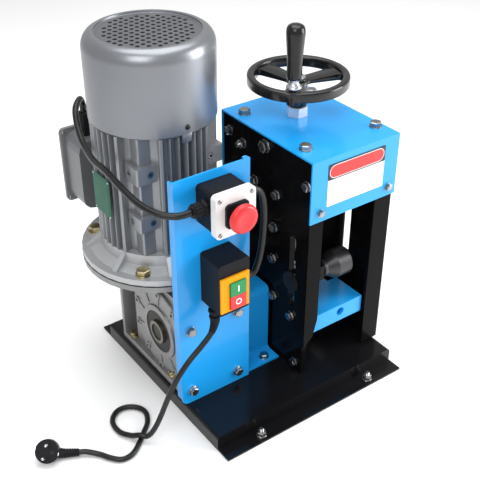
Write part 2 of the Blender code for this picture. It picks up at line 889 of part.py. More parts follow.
def right_side_plate(machine):
    outer = PLATE_RIGHT
    inner = PLATE_RIGHT - PLATE_THICK
    outline = rectangle(PLATE_FRONT + POST_DEPTH - PAST, PLATE_BACK, GAP, PLATE_HIGH)
    plate = put("right_side_plate", slab(outline, "X", inner, outer), BLACK, machine)
    low = (outer - POST_RIGHT_WIDTH, PLATE_FRONT, POST_RIGHT_LOW)
    high = (outer, PLATE_FRONT + POST_DEPTH, PLATE_HIGH)
    rail_low = (inner - RAIL_THICK, RAIL_REAR_FRONT, RAIL_LOW)
    rail = box(rail_low, (inner + OVERLAP, RAIL_REAR_BACK, RAIL_HIGH))
    fuse(plate, shells(box(low, high), rail))
    outline = rounded(WINDOW_FRONT, WINDOW_BACK, WINDOW_LOW, WINDOW_HIGH, WINDOW_CORNER)
    window = slab(outline, "X", inner - PAST, outer + PAST)
    cut(plate, shells(window, shaft_hole(inner - PAST, outer + PAST)))


def top_plate(machine):
    low = (PLATE_LEFT + PLATE_THICK + GAP, TOP_PLATE_FRONT, PLATE_HIGH - TOP_PLATE_THICK)
    high = (PLATE_RIGHT - PLATE_THICK - GAP, TOP_PLATE_BACK, PLATE_HIGH)
    plate = put("top_plate", box(low, high), BLACK, machine)
    centre = (SCREW_X, SCREW_Y, 0)
    bore = rod(SCREW_NECK_R + RUN_GAP, low[2] - PAST, PLATE_HIGH + PAST, centre, "Z", SMALL)
    cut(plate, bore)


def top_cover(machine):
    inner_top = COVER_TOP - COVER_SHEET
    outline = (
        (COVER_FRONT, COVER_LOW),
        (COVER_FRONT, COVER_TOP),
        (COVER_BACK, COVER_TOP),
        (COVER_BACK, COVER_LOW),
        (COVER_BACK - COVER_SHEET, COVER_LOW),
        (COVER_BACK - COVER_SHEET, inner_top),
        (COVER_FRONT + COVER_SHEET, inner_top),
        (COVER_FRONT + COVER_SHEET, COVER_LOW),
    )
    cover = put("top_cover", slab(outline, "X", COVER_LEFT, COVER_RIGHT), BLUE, machine)
    centre = (SCREW_X, SCREW_Y, 0)
    low = inner_top - PAST
    cut(cover, rod(SCREW_NECK_R + RUN_GAP, low, COVER_TOP + PAST, centre, "Z", SMALL))


def adjusting_screw(turn):
    neck_low = PLATE_HIGH - TOP_PLATE_THICK - RUN_GAP
    shoulder = HUB_LOW - GAP
    profile = (
        (0, SCREW_LOW),
        (SCREW_R - OVERLAP, SCREW_LOW),
        (SCREW_R, SCREW_LOW + OVERLAP),
        (SCREW_R, SCREW_COLLAR_LOW),
        (SCREW_COLLAR_R, SCREW_COLLAR_LOW),
        (SCREW_COLLAR_R, neck_low),
        (SCREW_NECK_R, neck_low),
        (SCREW_NECK_R, shoulder),
        (SCREW_END_R, shoulder),
        (SCREW_END_R, SCREW_TOP),
        (0, SCREW_TOP),
    )
    put("adjusting_screw", turned(profile, (SCREW_X, SCREW_Y, 0), "Z", SMALL), STEEL, turn)


def screw_nut(turn):
    corner = NUT_FLATS / 2 / math.cos(math.pi / 6)
    low = COVER_TOP + GAP
    high = low + NUT_HIGH
    hexagon = circle((SCREW_X, SCREW_Y), corner, 6)
    nut = put("screw_nut", slab(hexagon, "Z", low, high), ZINC, turn)
    centre = (SCREW_X, SCREW_Y, 0)
    cut(nut, rod(SCREW_NECK_R + GAP, low - PAST, high + PAST, centre, "Z", SMALL))


def grip_centre():
    return Vector((SCREW_X, SCREW_Y, 0)) + GRIP_ORBIT * spoke_direction(GRIP_ANGLE)


def rim_profile():
    low_in = RIM_INNER_LOW_R + RIM_LOW_EDGE
    low_out = WHEEL_R - RIM_LOW_EDGE
    return (
        (low_in, RIM_LOW),
        (low_out, RIM_LOW),
        (WHEEL_R, RIM_LOW + RIM_LOW_EDGE),
        (WHEEL_R, RIM_HIGH - RIM_EDGE),
        (WHEEL_R - RIM_EDGE / 3, RIM_HIGH - RIM_EDGE / 3),
        (WHEEL_R - RIM_EDGE, RIM_HIGH),
        (RIM_INNER_HIGH_R + RIM_EDGE, RIM_HIGH),
        (RIM_INNER_HIGH_R, RIM_HIGH - RIM_EDGE),
        (RIM_INNER_LOW_R, RIM_LOW + RIM_LOW_EDGE),
    )


def arm_edge(angle, side, run, half):
    """A point on the edge of an arm, at a run from the wheel's middle."""
    return run * spoke_direction(angle) + side * half * spoke_direction(angle + math.pi / 2)


def eased(corners):
    """An outline from pairs of a corner and its reach, which rounds the corner back so far."""
    points = []
    for i, (corner, reach) in enumerate(corners):
        before = corners[i - 1][0] - corner
        after = corners[(i + 1) % len(corners)][0] - corner
        start = corner + before.normalized() * reach
        end = corner + after.normalized() * reach
        steps = CORNER_STEPS if reach else 0
        for k in range(steps + 1):
            share = k / max(1, steps)
            points.append(start.lerp(corner, share).lerp(corner.lerp(end, share), share))
    return points


def wheel_gap(angle):
    """The opening between two arms of the handwheel, which narrows to the hub."""
    third = math.pi / 3
    run = math.sqrt(WHEEL_GAP_R**2 - ARM_HALF_OUT**2)
    near = arm_edge(angle - third, 1, ARM_START_R, ARM_HALF_IN)
    first = arm_edge(angle - third, 1, run, ARM_HALF_OUT)
    last = arm_edge(angle + third, -1, run, ARM_HALF_OUT)
    across = spoke_direction(angle + math.pi / 2)
    meet = near.lerp(first, near.dot(across) / (near - first).dot(across))
    corners = [(meet, ARM_EASE_IN), (first, ARM_EASE_OUT)]
    reach = math.pi / 3 - math.asin(ARM_HALF_OUT / WHEEL_GAP_R)
    for i in range(1, WHEEL_GAP_STEPS):
        at = angle - reach + 2 * reach * i / WHEEL_GAP_STEPS
        corners.append((WHEEL_GAP_R * spoke_direction(at), 0))
    corners.append((last, ARM_EASE_OUT))
    return [(SCREW_X + point.x, SCREW_Y + point.y) for point in eased(corners)]


def handwheel(turn):
    centre = (SCREW_X, SCREW_Y, 0)
    web = (
        (0, WEB_LOW),
        (WEB_R, WEB_LOW),
        (WEB_R, WEB_RIM_HIGH),
        (WEB_HUB_R, WEB_HUB_HIGH),
        (0, WEB_HUB_HIGH),
    )
    wheel = put("handwheel", turned(web, centre, "Z", FINE), BLACK, turn)
    for i in range(3):
        gap = wheel_gap(GRIP_ANGLE + math.pi / 3 + i * math.tau / 3)
        cut(wheel, slab(gap, "Z", WEB_LOW - PAST, WEB_RIM_HIGH + PAST))
    fuse(wheel, turned(rim_profile(), centre, "Z", FINE))
    hub = (
        (0, HUB_LOW),
        (HUB_R - PAST, HUB_LOW),
        (HUB_R, HUB_LOW + PAST),
        (HUB_R, HUB_HIGH - PAST / 2),
        (HUB_R - PAST / 2, HUB_HIGH),
        (0, HUB_HIGH),
    )
    boss = rod(BOSS_R, BOSS_LOW, BOSS_HIGH, grip_centre(), "Z", SMALL)
    fuse(wheel, shells(turned(hub, centre, "Z", SMALL), boss))
    bore = rod(SCREW_END_R + GAP, HUB_LOW - PAST, HUB_HIGH + PAST, centre, "Z", SMALL)
    cut(wheel, bore)


def handle_spindle(turn):
    low = BOSS_HIGH + GAP
    profile = [(0, low)]
    for share, radius in FERRULE_SHARES:
        profile.append((radius * FERRULE_R, low + share * FERRULE_HIGH))
    top = low + FERRULE_HIGH
    profile += [(SPINDLE_R, top), (SPINDLE_R, SPINDLE_TOP), (0, SPINDLE_TOP)]
    put("handle_spindle", turned(profile, grip_centre(), "Z", SMALL), STEEL, turn)


def handle_grip(grip_turn):
    bore = SPINDLE_R + RUN_GAP
    profile = [(0, GRIP_BORE_TOP), (bore, GRIP_BORE_TOP), (bore, GRIP_LOW)]
    for share, radius in GRIP_SHARES:
        profile.append((radius * GRIP_R, GRIP_LOW + share * GRIP_LONG))
    profile.append((0, GRIP_HIGH))
    put("handle_grip", turned(profile, grip_centre(), "Z", SMALL), PLASTIC, grip_turn)


def blade_carriage(slide):
    low = (BLOCK_LEFT, BLOCK_FRONT, BLOCK_LOW)
    block = box(low, (BLOCK_RIGHT, BLOCK_BACK, CARRIAGE_TOP))
    carriage = put("blade_carriage", block, BLACK, slide)
    front = (
        (FRONT_STEP_Y, FRONT_LOW),
        (FRONT_BACK_LOW, FRONT_LOW),
        (FRONT_BACK_LOW, BLOCK_LOW),
        (BLOCK_FRONT + OVERLAP, BLOCK_LOW),
        (BLOCK_FRONT + OVERLAP, CARRIAGE_TOP),
        (FRONT_Y, CARRIAGE_TOP),
        (FRONT_Y, FRONT_STEP_Z),
        (FRONT_STEP_Y, FRONT_STEP_Z),
    )
    high = BLOCK_LOW + OVERLAP
    left = box((CHEEK_LEFT, CHEEK_FRONT, CHEEK_LOW), (CHEEK_LEFT + CHEEK_THICK, CHEEK_BACK, high))
    right_low = (CHEEK_RIGHT - CHEEK_THICK, CHEEK_FRONT, CHEEK_LOW)
    right = box(right_low, (CHEEK_RIGHT, CHEEK_BACK, high))
    fuse(carriage, shells(slab(front, "X", FRONT_LEFT, FRONT_RIGHT), left, right))
    plate_high = (BRACKET_RIGHT, BRACKET_BACK, BRACKET_PLATE_HIGH)
    fuse(carriage, box((BRACKET_LEFT, FRONT_STEP_Y, BRACKET_LOW), plate_high))
    fuse(carriage, bracket_cheeks())
    cut(carriage, screw_bore(), bearing_holes(), axle_hole())


def bracket_cheeks():
    y_high = FRONT_STEP_Y + OVERLAP
    left_low = (BRACKET_LEFT, BRACKET_FRONT, BRACKET_LOW)
    left = box(left_low, (BRACKET_LEFT + BRACKET_THICK, y_high, BRACKET_HIGH))
    right_low = (BRACKET_RIGHT - BRACKET_THICK, BRACKET_FRONT, BRACKET_LOW)
    return shells(left, box(right_low, (BRACKET_RIGHT, y_high, BRACKET_HIGH)))


def screw_bore():
    profile = (
        (0, BLOCK_LOW - PAST),
        (BORE_R, BLOCK_LOW - PAST),
        (BORE_R, LEAD_NUT_LOW),
        (LEAD_NUT_R, LEAD_NUT_LOW),
        (LEAD_NUT_R, CARRIAGE_TOP + PAST),
        (0, CARRIAGE_TOP + PAST),
    )
    return turned(profile, (SCREW_X, SCREW_Y, 0), "Z", SMALL)


def bearing_holes():
    low = CHEEK_LEFT - PAST
    return rod(BLADE_BEARING_R, low, CHEEK_RIGHT + PAST, (0, OUTPUT_Y, BLADE_Z), "X", SMALL)


def axle_hole():
    centre = (0, SLOT_Y, ROLLER_Z)
    return rod(AXLE_R + GAP, BRACKET_LEFT - PAST, BRACKET_RIGHT + PAST, centre, "X", SMALL)


def lead_nut(slide):
    low = LEAD_NUT_LOW + GAP
    centre = (SCREW_X, SCREW_Y, 0)
    outer = LEAD_NUT_R - GAP
    bm = ring(SCREW_R + GAP, outer, low, CARRIAGE_TOP, centre, "Z", SMALL)
    put("lead_nut", bm, BRONZE, slide)


def blade_shaft(blade_turn):
    shoulder_right = SCREW_X - BLADE_THICK / 2 - GAP
    shoulder_left = shoulder_right - SHOULDER_LONG
    profile = (
        (0, BLADE_SHAFT_LEFT),
        (BLADE_SHAFT_R - OVERLAP, BLADE_SHAFT_LEFT),
        (BLADE_SHAFT_R, BLADE_SHAFT_LEFT + OVERLAP),
        (BLADE_SHAFT_R, shoulder_left),
        (SHOULDER_R, shoulder_left),
        (SHOULDER_R, shoulder_right),
        (BLADE_SHAFT_R, shoulder_right),
        (BLADE_SHAFT_R, BLADE_SHAFT_RIGHT - OVERLAP),
        (BLADE_SHAFT_R - OVERLAP, BLADE_SHAFT_RIGHT),
        (0, BLADE_SHAFT_RIGHT),
    )
    bm = turned(profile, (0, OUTPUT_Y, BLADE_Z), "X", SMALL)
    put("blade_shaft", bm, STEEL, blade_turn)


def cutting_blade(blade_turn):
    half = BLADE_THICK / 2
    edge = BLADE_EDGE / 2
    bore = BLADE_SHAFT_R + GAP
    profile = (
        (bore, -half),
        (BLADE_R - BLADE_BEVEL, -half),
        (BLADE_R, -edge),
        (BLADE_R, edge),
        (BLADE_R - BLADE_BEVEL, half),
        (bore, half),
    )
    bm = turned(profile, (SCREW_X, OUTPUT_Y, BLADE_Z), "X", ROUND)
    put("cutting_blade", bm, STEEL, blade_turn)


def blade_clamp(blade_turn):
    low = SCREW_X + BLADE_THICK / 2 + GAP
    centre = (0, OUTPUT_Y, BLADE_Z)
    bm = ring(BLADE_SHAFT_R + GAP, CLAMP_R, low, low + CLAMP_LONG, centre, "X", SMALL)
    put("blade_clamp", bm, STEEL, blade_turn)


def blade_bearings(slide):
    centre = (0, OUTPUT_Y, BLADE_Z)
    inner = BLADE_SHAFT_R + GAP
    outer = BLADE_BEARING_R - GAP
    left = ring(inner, outer, CHEEK_LEFT, CHEEK_LEFT + CHEEK_THICK, centre, "X", SMALL)
    put("blade_bearing_left", left, STEEL, slide, (CHEEK_LEFT, OUTPUT_Y, BLADE_Z))
    right = ring(inner, outer, CHEEK_RIGHT - CHEEK_THICK, CHEEK_RIGHT, centre, "X", SMALL)
    put("blade_bearing_right", right, STEEL, slide, (CHEEK_RIGHT, OUTPUT_Y, BLADE_Z))


def guide_roller(roller_turn):
    bore = AXLE_R + RUN_GAP
    profile = (
        (bore, ROLLER_LEFT),
        (ROLLER_SMALL_R - ROLLER_EDGE, ROLLER_LEFT),
        (ROLLER_SMALL_R, ROLLER_LEFT + ROLLER_EDGE),
        (ROLLER_SMALL_R, ROLLER_CONE_LEFT),
        (ROLLER_R, ROLLER_CONE_RIGHT),
        (ROLLER_R, ROLLER_RIGHT - ROLLER_EDGE),
        (ROLLER_R - ROLLER_EDGE, ROLLER_RIGHT),
        (bore, ROLLER_RIGHT),
    )
    put("guide_roller", turned(profile, (0, SLOT_Y, ROLLER_Z), "X"), BLACK, roller_turn)


def guide_axle(slide):
    left_high = PLATE_LEFT - AXLE_SIDE_GAP
    left_low = left_high - AXLE_COLLAR_LONG
    right = BRACKET_RIGHT + AXLE_END
    profile = (
        (0, left_low - AXLE_END),
        (AXLE_R, left_low - AXLE_END),
        (AXLE_R, left_low),
        (AXLE_COLLAR_R, left_low),
        (AXLE_COLLAR_R, left_high),
        (AXLE_R, left_high),
        (AXLE_R, right),
        (0, right),
    )
    put("guide_axle", turned(profile, (0, SLOT_Y, ROLLER_Z), "X", SMALL), STEEL, slide)


def front_rails(machine):
    """The rear rails are welded to the side plates, and these two are bolted."""
    left = PLATE_LEFT + PLATE_THICK + GAP
    right = PLATE_RIGHT - PLATE_THICK - GAP
    sides = (
        ("rail_left_front", left, left + RAIL_THICK, RAIL_LEFT_FRONT, RAIL_FRONT_BACK),
        ("rail_right_front", right - RAIL_THICK, right, RAIL_RIGHT_FRONT, RAIL_FRONT_BACK),
    )
    for name, low_x, high_x, low_y, high_y in sides:
        bm = box((low_x, low_y, RAIL_LOW), (high_x, high_y, RAIL_HIGH))
        put(name, bm, BLACK, machine, (low_x, low_y, RAIL_LOW))


def feed_guide_block(machine):
    left = PLATE_LEFT + PLATE_THICK + GAP
    outline = (
        (left, GUIDE_FRONT),
        (GUIDE_RIGHT, GUIDE_FRONT),
        (GUIDE_RIGHT, GUIDE_STEP),
        (GUIDE_NOSE_RIGHT, GUIDE_STEP),
        (GUIDE_NOSE_RIGHT, GUIDE_BACK),
        (GUIDE_NOSE_LEFT, GUIDE_BACK),
        (GUIDE_NOSE_LEFT, GUIDE_STEP),
        (left, GUIDE_STEP),
    )
    block = put("feed_guide_block", slab(outline, "Z", GUIDE_LOW, GUIDE_HIGH), BLUE, machine)
    centre = (CABLE_X, 0, CABLE_Z)
    low = GUIDE_FRONT - PAST
    cut(block, rod(CABLE_HOLE_R, low, GUIDE_BACK + PAST, centre, "Y", SMALL))


def main_shaft(output_turn):
    edge = SHAFT_R - OVERLAP
    profile = (
        (0, SHAFT_LEFT),
        (edge, SHAFT_LEFT),
        (SHAFT_R, SHAFT_LEFT + OVERLAP),
        (SHAFT_R, SHAFT_RIGHT - OVERLAP),
        (edge, SHAFT_RIGHT),
        (0, SHAFT_RIGHT),
    )
    bm = turned(profile, (0, OUTPUT_Y, OUTPUT_Z), "X")
    put("main_shaft", bm, STEEL, output_turn)


def feed_wheel(output_turn):
    bore = SHAFT_R + GAP
    half = FEED_GROOVE_WIDE / 2
    profile = (
        (bore, FEED_LEFT),
        (FEED_R - OVERLAP, FEED_LEFT),
        (FEED_R, FEED_LEFT + OVERLAP),
        (FEED_R, SCREW_X - half),
        (FEED_R - FEED_GROOVE, SCREW_X),
        (FEED_R, SCREW_X + half),
        (FEED_R, FEED_RIGHT - OVERLAP),
        (FEED_R - OVERLAP, FEED_RIGHT),
        (bore, FEED_RIGHT),
    )
    bm = turned(profile, (0, OUTPUT_Y, OUTPUT_Z), "X")
    put("feed_wheel", bm, STEEL, output_turn)


def main_bearings(machine):
    centre = (0, OUTPUT_Y, OUTPUT_Z)
    for name, face, inward in (
        ("main_bearing_left", PLATE_LEFT, 1),
        ("main_bearing_right", PLATE_RIGHT, -1),
    ):
        profile = (
            (SHAFT_R + GAP, face - inward * (BEARING_FLANGE + GAP)),
            (BEARING_FLANGE_R, face - inward * (BEARING_FLANGE + GAP)),
            (BEARING_FLANGE_R, face - inward * GAP),
            (BEARING_R - GAP, face - inward * GAP),
            (BEARING_R - GAP, face + inward * BEARING_LONG),
            (SHAFT_R + GAP, face + inward * BEARING_LONG),
        )
        origin = (face, OUTPUT_Y, OUTPUT_Z)
        put(name, turned(profile, centre, "X"), STEEL, machine, origin)


def gearbox_housing(machine):
    outline = rounded(BOX_FRONT, BOX_BACK, GAP, BOX_HIGH, BOX_CORNER)
    housing = put("gearbox_housing", slab(outline, "X", BOX_LEFT, BOX_RIGHT), SILVER, machine)
    worm_centre = (WORM_X, WORM_Y, 0)
    fuse(housing, rod(WORM_TUBE_R, GAP, BOX_HIGH, worm_centre))
    centre = (0, OUTPUT_Y, OUTPUT_Z)
    cut(housing, rod(WHEEL_ROOM_R, BOX_LEFT - PAST, BOX_RIGHT + PAST, centre, "X", FINE))
    cut(housing, rod(WORM_ROOM_R, WORM_ROOM_LOW, BOX_HIGH + PAST, worm_centre))


def gearbox_cover(machine, name, face, outward):
    steps_out = (
        (COVER_BORE_R, -COVER_SPIGOT),
        (COVER_SPIGOT_R, -COVER_SPIGOT),
        (COVER_SPIGOT_R, GAP),
        (COVER_R, GAP),
        (COVER_R, COVER_PLATE - OVERLAP),
        (COVER_R - OVERLAP, COVER_PLATE),
        (COVER_RING_R + OVERLAP, COVER_PLATE),
        (COVER_RING_R, COVER_RING_PROUD),
        (COVER_BORE_R, COVER_RING_PROUD),
    )
    profile = [(radius, face + outward * out) for radius, out in steps_out]
    bm = turned(profile, (0, OUTPUT_Y, OUTPUT_Z), "X")
    put(name, bm, SILVER, machine, (face, OUTPUT_Y, OUTPUT_Z))


def oil_seal(machine, name, face, outward):
    centre = (0, OUTPUT_Y, OUTPUT_Z)
    out = face + outward * (COVER_RING_PROUD - OVERLAP)
    back = out - outward * SEAL_THICK
    bm = ring(SEAL_BORE_R, SEAL_R, min(out, back), max(out, back), centre, "X")
    put(name, bm, BROWN, machine, (face, OUTPUT_Y, OUTPUT_Z))


def hollow_output_shaft(output_turn):
    centre = (0, OUTPUT_Y, OUTPUT_Z)
    bm = ring(HOLLOW_BORE_R, HOLLOW_R, HOLLOW_LEFT, HOLLOW_RIGHT, centre, "X")
    put("hollow_output_shaft", bm, STEEL, output_turn)


def gear_outline():
    """The wheel's teeth as (y, z) points, with one tooth towards the worm."""
    pitch_r = MODULE * GEAR_TEETH / 2
    step = math.tau / GEAR_TEETH
    corners = (
        (pitch_r - GEAR_DEDENDUM, -TOOTH_ROOT_SHARE / 2),
        (pitch_r + GEAR_ADDENDUM, -TOOTH_TIP_SHARE / 2),
        (pitch_r + GEAR_ADDENDUM, TOOTH_TIP_SHARE / 2),
        (pitch_r - GEAR_DEDENDUM, TOOTH_ROOT_SHARE / 2),
    )
    points = []
    for i in range(GEAR_TEETH):
        for radius, share in corners:
            angle = step * (i + share)
            points.append((radius * math.cos(angle), radius * math.sin(angle)))
    return points


def worm_wheel(output_turn):
    """The teeth lean by the worm's lead, so each layer of the outline is turned a little."""
    bm = bmesh.new()
    lead_lean = MODULE / 2 / WORM_PITCH_R
    rings = []
    for share in GEAR_LAYER_SHARES:
        x = share * GEAR_FACE
        lean = lead_lean * x / (MODULE * GEAR_TEETH / 2)
        layer = []
        for y, z in gear_outline():
            turned_y = y * math.cos(lean) - z * math.sin(lean)
            turned_z = y * math.sin(lean) + z * math.cos(lean)
            layer.append(bm.verts.new((WORM_X + x, OUTPUT_Y + turned_y, OUTPUT_Z + turned_z)))
        rings.append(layer)
    for one, other in zip(rings, rings[1:]):
        join_rings(bm, one, other)
    bm.faces.new(rings[0])
    bm.faces.new(rings[-1])
    wheel = put("worm_wheel", bm, BRONZE, output_turn)
    centre = (WORM_X, OUTPUT_Y, OUTPUT_Z)
    half = GEAR_HUB_LONG / 2
    fuse(wheel, rod(GEAR_HUB_R, -half, half, centre, "X"))
    cut(wheel, rod(GEAR_BORE_R, -half - PAST, half + PAST, centre, "X"))


def worm_thread():
    """One start of thread, wound right-handed, whose gap faces the wheel's tooth."""
    bm = bmesh.new()
    pitch = MODULE * math.pi
    tip_r = WORM_PITCH_R + WORM_ADDENDUM
    corners = (
        (WORM_END_R, -TOOTH_ROOT_SHARE / 2),
        (tip_r, -TOOTH_TIP_SHARE / 2),
        (tip_r, TOOTH_TIP_SHARE / 2),
        (WORM_END_R, TOOTH_ROOT_SHARE / 2),
    )
    rings = []
    for i in range(WORM_TURNS * WORM_STEPS + 1):
        turns = i / WORM_STEPS - WORM_TURNS / 2
        angle = math.tau * turns + math.pi / 2
        layer = []
        for radius, share in corners:
            x = WORM_X + radius * math.cos(angle)
            y = WORM_Y + radius * math.sin(angle)
            layer.append(bm.verts.new((x, y, OUTPUT_Z + pitch * (turns + share))))
        rings.append(layer)
    for one, other in zip(rings, rings[1:]):
        join_rings(bm, one, other)
    bm.faces.new(rings[0])
    bm.faces.new(rings[-1])
    bmesh.ops.recalc_face_normals(bm, faces=bm.faces)
    return bm


def worm_shaft(rotor_turn):
    core_r = WORM_PITCH_R - WORM_DEDENDUM
    half = MODULE * math.pi * (WORM_TURNS / 2 + TOOTH_PITCH_SHARE)
    profile = (
        (0, WORM_LOW),
        (WORM_END_R, WORM_LOW),
        (WORM_END_R, OUTPUT_Z - half),
        (core_r, OUTPUT_Z - half),
        (core_r, WORM_TOP_LOW),
        (WORM_TOP_R, WORM_TOP_LOW),
        (WORM_TOP_R, WORM_HIGH),
        (WORM_SOCKET_R, WORM_HIGH),
        (WORM_SOCKET_R, WORM_SOCKET_LOW),
        (0, WORM_SOCKET_LOW),
    )
    bm = turned(profile, (WORM_X, WORM_Y, 0), "Z", SMALL)
    fuse(put("worm_shaft", bm, STEEL, rotor_turn), worm_thread())


def input_flange(machine):
    low = BOX_HIGH + GAP
    profile = (
        (INPUT_BORE_R, low),
        (INPUT_NECK_R, low),
        (INPUT_NECK_R, INPUT_FLANGE_LOW),
        (FLANGE_R, INPUT_FLANGE_LOW),
        (FLANGE_R, INPUT_FLANGE_HIGH),
        (INPUT_BORE_R, INPUT_FLANGE_HIGH),
    )
    bm = turned(profile, (WORM_X, WORM_Y, 0), "Z", FINE)
    put("input_flange", bm, SILVER, machine, (WORM_X, WORM_Y, low))


def motor_flange(machine):
    low = INPUT_FLANGE_HIGH + GAP
    centre = Vector((WORM_X, WORM_Y, 0))
    profile = (
        (MOTOR_BORE_R, low),
        (FLANGE_R, low),
        (FLANGE_R, MOTOR_FLANGE_HIGH),
        (MOTOR_RIB_END_R - BASE_BEND, MOTOR_FLANGE_HIGH),
        (MOTOR_CONE_R + PAST, MOTOR_FLANGE_HIGH + BASE_BEND),
        (MOTOR_CONE_R, MOTOR_CONE_HIGH),
        (MOTOR_BORE_R, MOTOR_CONE_HIGH),
    )
    flange = put("motor_flange", turned(profile, centre, "Z", FINE), SILVER, machine,
                 (WORM_X, WORM_Y, low))
    ribs = []
    for i in range(MOTOR_RIBS):
        angle = math.tau * (i + 0.5) / MOTOR_RIBS
        direction = spoke_direction(angle)
        high = MOTOR_CONE_HIGH - MOTOR_FLANGE_HIGH - PAST
        foot = Vector((0, 0, MOTOR_FLANGE_HIGH))
        middle = Vector((0, 0, MOTOR_FLANGE_HIGH + high / 2))
        start = centre + direction * (MOTOR_CONE_R - PAST) + middle
        end = centre + direction * MOTOR_RIB_END_R + foot
        across = spoke_direction(angle + math.pi / 2)
        thick = (MOTOR_RIB_THICK, MOTOR_RIB_THICK)
        tall = (high + PAST, OVERLAP * 2)
        ribs.append(tapered(start, end, across, (0, 0, 1), thick, tall))
    fuse(flange, shells(*ribs))


def fin_outline():
    """The finned barrel of the motor, as (x, y) points."""
    points = []
    for i in range(STATOR_FINS):
        angle = math.tau * i / STATOR_FINS
        for radius, side in (
            (STATOR_CORE_R, -1),
            (STATOR_FIN_R, -1),
            (STATOR_FIN_R, 1),
            (STATOR_CORE_R, 1),
        ):
            turn = angle + side * FIN_THICK / 2 / radius
            x = WORM_X + radius * math.cos(turn)
            points.append((x, WORM_Y + radius * math.sin(turn)))
    return points


def stator_housing(machine):
    bm = slab(fin_outline(), "Z", STATOR_LOW, STATOR_HIGH)
    origin = (WORM_X, WORM_Y, STATOR_LOW)
    stator = put("stator_housing", bm, SILVER, machine, origin)
    centre = Vector((WORM_X, WORM_Y, 0))
    pads = []
    for i in range(4):
        angle = math.pi / 4 + math.pi / 2 * i
        direction = spoke_direction(angle)
        across = spoke_direction(angle + math.pi / 2)
        for z in (PAD_LOW_Z, PAD_HIGH_Z):
            height = Vector((0, 0, z))
            start = centre + direction * (STATOR_CORE_R - PAST) + height
            end = centre + direction * PAD_OUT + height
            wide = (2 * PAD_HALF_WIDE, 2 * PAD_HALF_WIDE)
            tall = (2 * PAD_HALF_HIGH, 2 * PAD_HALF_HIGH)
            pads.append(tapered(start, end, across, (0, 0, 1), wide, tall))
    fuse(stator, shells(*pads))
    cut(stator, rod(STATOR_BORE_R, STATOR_LOW - PAST, STATOR_HIGH + PAST, centre))


def rotor(rotor_turn):
    profile = (
        (0, ROTOR_SHAFT_LOW),
        (ROTOR_SHAFT_R, ROTOR_SHAFT_LOW),
        (ROTOR_SHAFT_R, ROTOR_LOW),
        (ROTOR_R, ROTOR_LOW),
        (ROTOR_R, ROTOR_HIGH),
        (ROTOR_SHAFT_R, ROTOR_HIGH),
        (ROTOR_SHAFT_R, ROTOR_SHAFT_HIGH),
        (0, ROTOR_SHAFT_HIGH),
    )
    put("rotor", turned(profile, (WORM_X, WORM_Y, 0), "Z"), STEEL, rotor_turn)


def rear_shield(machine):
    low = STATOR_HIGH + GAP
    centre = (WORM_X, WORM_Y, 0)
    bm = ring(REAR_BORE_R, REAR_SHIELD_R, low, REAR_SHIELD_HIGH, centre)
    put("rear_shield", bm, SILVER, machine, (WORM_X, WORM_Y, low))


def cooling_fan(rotor_turn):
    centre = Vector((WORM_X, WORM_Y, 0))
    bore = ROTOR_SHAFT_R + GAP
    profile = (
        (bore, FAN_LOW),
        (FAN_R, FAN_LOW),
        (FAN_R, FAN_LOW + FAN_DISC),
        (FAN_HUB_R, FAN_LOW + FAN_DISC),
        (FAN_HUB_R, FAN_HIGH),
        (bore, FAN_HIGH),
    )
    fan = put("cooling_fan", turned(profile, centre, "Z"), PLASTIC, rotor_turn)
    blades = []
    for i in range(FAN_BLADES):
        angle = math.tau * i / FAN_BLADES
        direction = spoke_direction(angle)
        height = Vector((0, 0, (FAN_LOW + FAN_HIGH) / 2))
        start = centre + direction * (FAN_HUB_R - PAST) + height
        end = centre + direction * (FAN_R - PAST) + height
        across = spoke_direction(angle + math.pi / 2)
        thick = (FAN_BLADE_THICK, FAN_BLADE_THICK)
        high = FAN_HIGH - FAN_LOW - FAN_DISC
        blades.append(tapered(start, end, across, (0, 0, 1), thick, (high, high)))
    fuse(fan, shells(*blades))


def fan_cover(machine):
    sheet = FAN_COVER_SHEET
    rise = FAN_COVER_TOP - FAN_COVER_SHOULDER
    fall = FAN_COVER_R - FAN_COVER_TOP_R
    outer = []
    for i in range(CORNER_STEPS + 1):
        angle = math.pi / 2 * i / CORNER_STEPS
        radius = FAN_COVER_TOP_R + fall * math.cos(angle)
        outer.append((radius, FAN_COVER_SHOULDER + rise * math.sin(angle)))
    inner = [(radius - sheet, height - sheet * i / CORNER_STEPS)
             for i, (radius, height) in enumerate(outer)]
    profile = [(0, FAN_COVER_TOP - sheet), *reversed(inner), (FAN_COVER_R - sheet, FAN_COVER_LOW),
               (FAN_COVER_R, FAN_COVER_LOW), *outer, (0, FAN_COVER_TOP)]
    bm = turned(profile, (WORM_X, WORM_Y, 0), "Z", FINE)
    origin = (WORM_X, WORM_Y, FAN_COVER_LOW)
    cover = put("fan_cover", bm, SILVER, machine, origin)
    cut(cover, grille_holes())


def grille_holes():
    """Round holes in rows, each row half a step across from the last."""
    row_step = GRILLE_PITCH * math.sqrt(3) / 2
    rows = math.ceil(GRILLE_R / row_step)
    holes = []
    for row in range(-rows, rows + 1):
        for column in range(-rows - 1, rows + 2):
            x = GRILLE_PITCH * (column + row % 2 / 2)
            y = row_step * row
            if math.hypot(x, y) + GRILLE_HOLE_R > GRILLE_R:
                continue
            outline = circle((WORM_X + x, WORM_Y + y), GRILLE_HOLE_R, 6)
            low = FAN_COVER_TOP - FAN_COVER_SHEET - PAST
            holes.append(slab(outline, "Z", low, FAN_COVER_TOP + PAST))
    return shells(*holes)


